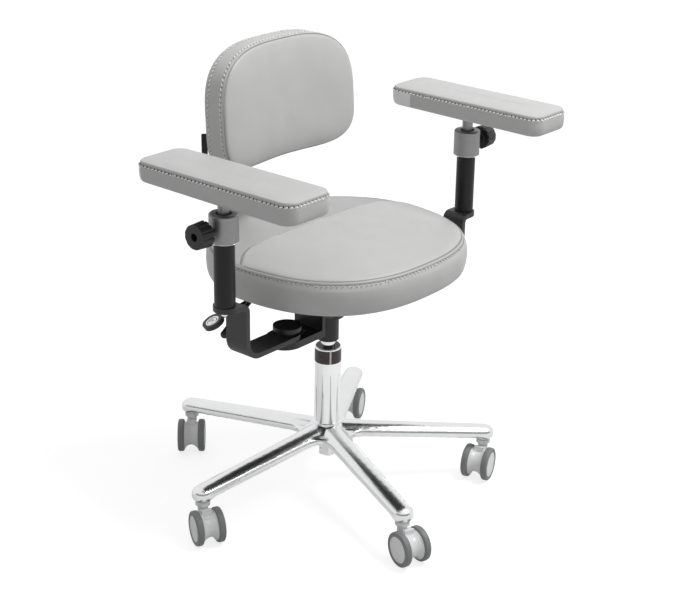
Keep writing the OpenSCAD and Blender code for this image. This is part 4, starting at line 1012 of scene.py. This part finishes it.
def make_column_band():
    """The bare label round the column, and the grey strip where its ends don't meet."""
    arc_shell("column_band", BAND_R, SLIT_AT + SLIT_HALF, SLIT_AT + 360 - SLIT_HALF, "band", "base")
    arc_shell("column_band_gap", STRIP_R, SLIT_AT - STRIP_HALF, SLIT_AT + STRIP_HALF, "rim", "base")


NUT_DOME = [(0.6, -11), (2.6, -10.6), (5.6, -9), (7.8, -6), (8.5, -3), (8.5, 0)]
COLLAR_RING = [(23.2, -0.2), (25.0, 1.8), (25.15, 2.2), (25.0, 2.4)]
NECK_LIP = [(25.1, 127), (26.4, 127.6), (27.0, 129), (27.1, 131.4), (26.7, 132.7), (25.9, 133.2),
            (25.1, 133.2)]
COLUMN_LIP = [(24.9, 284.1), (25.5, 284.3), (25.6, 286), (25.3, 287.4), (24.6, 288.2), (23.8, 288.4),
              (23.2, 288), (23.2, 287)]


def make_arm_nuts():
    """The domed nut under each upright tube."""
    for name, side in SIDES:
        lathe(name + "_tube_nut", NUT_DOME, "chrome", name + "_arm", 24,
              place_at=(side * PAD_X, ARM_Y, TUBE_FOOT_Z))


def make_collar_rings():
    """The bright chamfer at the foot of each collar."""
    for name, side in SIDES:
        lathe(name + "_collar_ring", COLLAR_RING, "chrome", name + "_arm", ring=True,
              place_at=(side * PAD_X, ARM_Y, COLLAR_FOOT_Z))


def make_column_lips():
    """The turned lip of the neck of the base round the column, and the bright edge of the column's top."""
    lathe("neck_lip", NECK_LIP, "chrome", "base", 96, ring=True)
    lathe("column_lip", COLUMN_LIP, "chrome", "base", 96, ring=True)


PADDLE_PIVOT = Vector((-92, 99, 388))
PADDLE_REACH = 114
PADDLE_SLOPE = math.radians(9)
PADDLE_TILT = math.radians(28)
PADDLE_ROLL = math.radians(18)
PADDLE_LENGTH = 46
PADDLE_WIDTH = 38
PADDLE_THICK = 9
DISC_SINK = 1
DISC_ROWS = [(0.7, 0.2), (0.66, 0.8), (0.56, 0.75), (0.52, 0.35), (0.46, 0.35), (0.42, 0.6), (0.3, 0.55),
             (0.05, 0.3)]


def make_paddle_disc():
    """The plain bright disc, with a ring, let into the paddle of the height lever."""
    face = PADDLE_THICK / 2 - DISC_SINK
    profile = [(share * (PADDLE_LENGTH / 2), face + up) for share, up in DISC_ROWS]
    piece = lathe("paddle_disc", profile, "disc", "height_lever")
    turn = Matrix.Rotation(-PADDLE_SLOPE, 4, "Y") @ Matrix.Translation((-PADDLE_REACH * MM, 0, 0))
    tilt = Matrix.Rotation(PADDLE_SLOPE - PADDLE_TILT, 4, "Y") @ Matrix.Rotation(-PADDLE_ROLL, 4, "X")
    narrow = Matrix.Diagonal((PADDLE_WIDTH / PADDLE_LENGTH, 1, 1, 1))
    piece.data.transform(Matrix.Translation(PADDLE_PIVOT * MM) @ turn @ tilt @ narrow)


TAG_OUTLINE = [(0, 0), (0, 44), (0.8, 45.5), (7, 45), (8.2, 43.5), (8, 1.5), (7, 0)]
TAG_AT = (-165, 145, 661)
TAG_LEAN = 0.7
TAG_STEP = (-0.9, 1.0)


def make_tag():
    """A bare folded cloth tag in the rear seam of the back."""
    verts = [[-x * TAG_LEAN + TAG_AT[0], TAG_AT[1] + x, TAG_AT[2] + z] for x, z in TAG_OUTLINE]
    verts += [[x + TAG_STEP[0], y + TAG_STEP[1], z] for x, y, z in verts]
    n = len(TAG_OUTLINE)
    faces = [list(range(n))[::-1], [n + k for k in range(n)]]
    faces += [[k, (k + 1) % n, n + (k + 1) % n, n + k] for k in range(n)]
    piece = joined("seam_tag", verts, faces, smooth=False)
    piece.data.materials.append(MATERIALS["tag"])
    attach(piece, "back_unit")


# Studio

CAMERA_AT = (-2.05687, -1.761220, 1.485417)
CAMERA_AZ, CAMERA_EL, CAMERA_ROLL = math.radians(-50.27), math.radians(22.17), math.radians(1.02)
FOCAL_PX, FRAME_PX, SENSOR = 1568.7, 700, 36.0
FAR_CLIP = 100

KEY_AT = (0.85, -1.15, 2.8)
KEY_AIM = (0.0, -0.05, 0.55)
KEY_SIZE = 1.3
KEY_POWER = 44.0

FLOOR_REACH = 40
FLOOR_COLOUR = (0.5, 0.5, 0.5)
FLOOR_GLOW = 0.76
FLOOR_GLOSS = 0.45
WORLD_LEVEL = 0.44
WORLD_GLOSS = 0.95
WHITE = (1, 1, 1, 1)

# The unlit side of the studio: the plan direction of its middle and how fast it ends to the sides, the sine
# of the height of its middle and of half its reach up and down, and how dark it is.
DARK_TOWARD = (-0.77, -0.64, 0.0)
DARK_SIDE_SOFT = 0.35
DARK_MIDDLE = 0.42
DARK_HALF = 0.08
DARK_SOFT = 0.34
DARK_DEPTH = 0.75


def make_camera():
    """The camera that was fitted to the photograph."""
    back = Vector((math.sin(CAMERA_AZ) * math.cos(CAMERA_EL), -math.cos(CAMERA_AZ) * math.cos(CAMERA_EL),
                   math.sin(CAMERA_EL)))
    right = Vector((0, 0, 1)).cross(back).normalized()
    up = back.cross(right)
    c, s = math.cos(CAMERA_ROLL), math.sin(CAMERA_ROLL)
    turned = Matrix((c * right + s * up, -s * right + c * up, back)).transposed().to_4x4()
    data = bpy.data.cameras.new("camera")
    data.sensor_width = SENSOR
    data.lens = SENSOR * FOCAL_PX / FRAME_PX
    data.clip_end = FAR_CLIP
    camera = bpy.data.objects.new("camera", data)
    bpy.context.scene.collection.objects.link(camera)
    camera.matrix_world = Matrix.Translation(CAMERA_AT) @ turned
    bpy.context.scene.camera = camera


def make_key():
    """One large soft lamp in front of the chair, above it and to its left, as far off as in a studio."""
    data = bpy.data.lights.new("key", "AREA")
    data.shape = "DISK"
    data.size = KEY_SIZE
    data.energy = KEY_POWER
    lamp = bpy.data.objects.new("key", data)
    bpy.context.scene.collection.objects.link(lamp)
    lamp.location = KEY_AT
    lamp.rotation_mode = "QUATERNION"
    lamp.rotation_quaternion = (Vector(KEY_AT) - Vector(KEY_AIM)).to_track_quat("Z", "Y")
    lamp.visible_camera = False


def seen(tree, direct, glossy, other):
    """One value for rays of the camera and through glass, one for reflections, one for all other light."""
    path = tree.nodes.new("ShaderNodeLightPath")
    clear = maths(tree, "ADD", path.outputs["Is Camera Ray"], path.outputs["Is Transmission Ray"])
    direct_share = spread(tree, clear, other, direct, from_low=0.0, from_high=1.0)
    glossy_share = spread(tree, path.outputs["Is Glossy Ray"], 0.0, glossy - other, from_low=0.0,
                          from_high=1.0)
    return maths(tree, "ADD", direct_share, glossy_share)


def make_floor():
    """A pale floor that looks white, mirrors as pale grey and keeps the shadow of the chair."""
    mesh = bpy.data.meshes.new("floor")
    corners = [(FLOOR_REACH * x, FLOOR_REACH * y, 0) for x, y in ((-1, -1), (1, -1), (1, 1), (-1, 1))]
    mesh.from_pydata(corners, [], [(0, 1, 2, 3)])
    floor = bpy.data.objects.new("floor", mesh)
    bpy.context.scene.collection.objects.link(floor)
    made, tree, shader = new_material("pale_floor", FLOOR_COLOUR, 0.9)
    shader.inputs["Emission Color"].default_value = WHITE
    feed(tree, shader.inputs["Emission Strength"], seen(tree, FLOOR_GLOW, FLOOR_GLOSS, 0.0))
    mesh.materials.append(made)


def dark_side(tree):
    """How much darker reflections of the unlit side are, above and behind the photographer."""
    coord = tree.nodes.new("ShaderNodeTexCoord")
    toward = dot(tree, coord.outputs["Generated"], DARK_TOWARD)
    split = node(tree, "ShaderNodeSeparateXYZ", Vector=coord.outputs["Generated"])
    off = maths(tree, "ABSOLUTE", maths(tree, "SUBTRACT", split.outputs["Z"], DARK_MIDDLE))
    level = spread(tree, off, DARK_DEPTH, 0.0, from_low=DARK_HALF, from_high=DARK_HALF + DARK_SOFT)
    side = spread(tree, toward, 0.0, 1.0, from_low=0.0, from_high=DARK_SIDE_SOFT)
    path = tree.nodes.new("ShaderNodeLightPath")
    return maths(tree, "MULTIPLY", maths(tree, "MULTIPLY", level, side), path.outputs["Is Glossy Ray"])


def make_world():
    """A white background, dimmer as a light, with the unlit side in its reflections."""
    world = bpy.data.worlds.new("studio")
    bpy.context.scene.world = world
    world.use_nodes = True
    tree = world.node_tree
    shader = tree.nodes["Background"]
    shader.inputs["Color"].default_value = WHITE
    strength = maths(tree, "SUBTRACT", seen(tree, 1.0, WORLD_GLOSS, WORLD_LEVEL), dark_side(tree))
    feed(tree, shader.inputs["Strength"], strength)


def make_studio():
    make_camera()
    make_floor()
    make_world()
    make_key()
    bpy.context.scene.view_settings.view_transform = "Standard"


make_studio()
dress_nodes()
smooth_casting()
make_seat()
make_back()
for side_name, side_sign in SIDES:
    make_pad(side_name, side_sign)
make_column_band()
make_arm_nuts()
make_collar_rings()
make_column_lips()
make_paddle_disc()
make_tag()
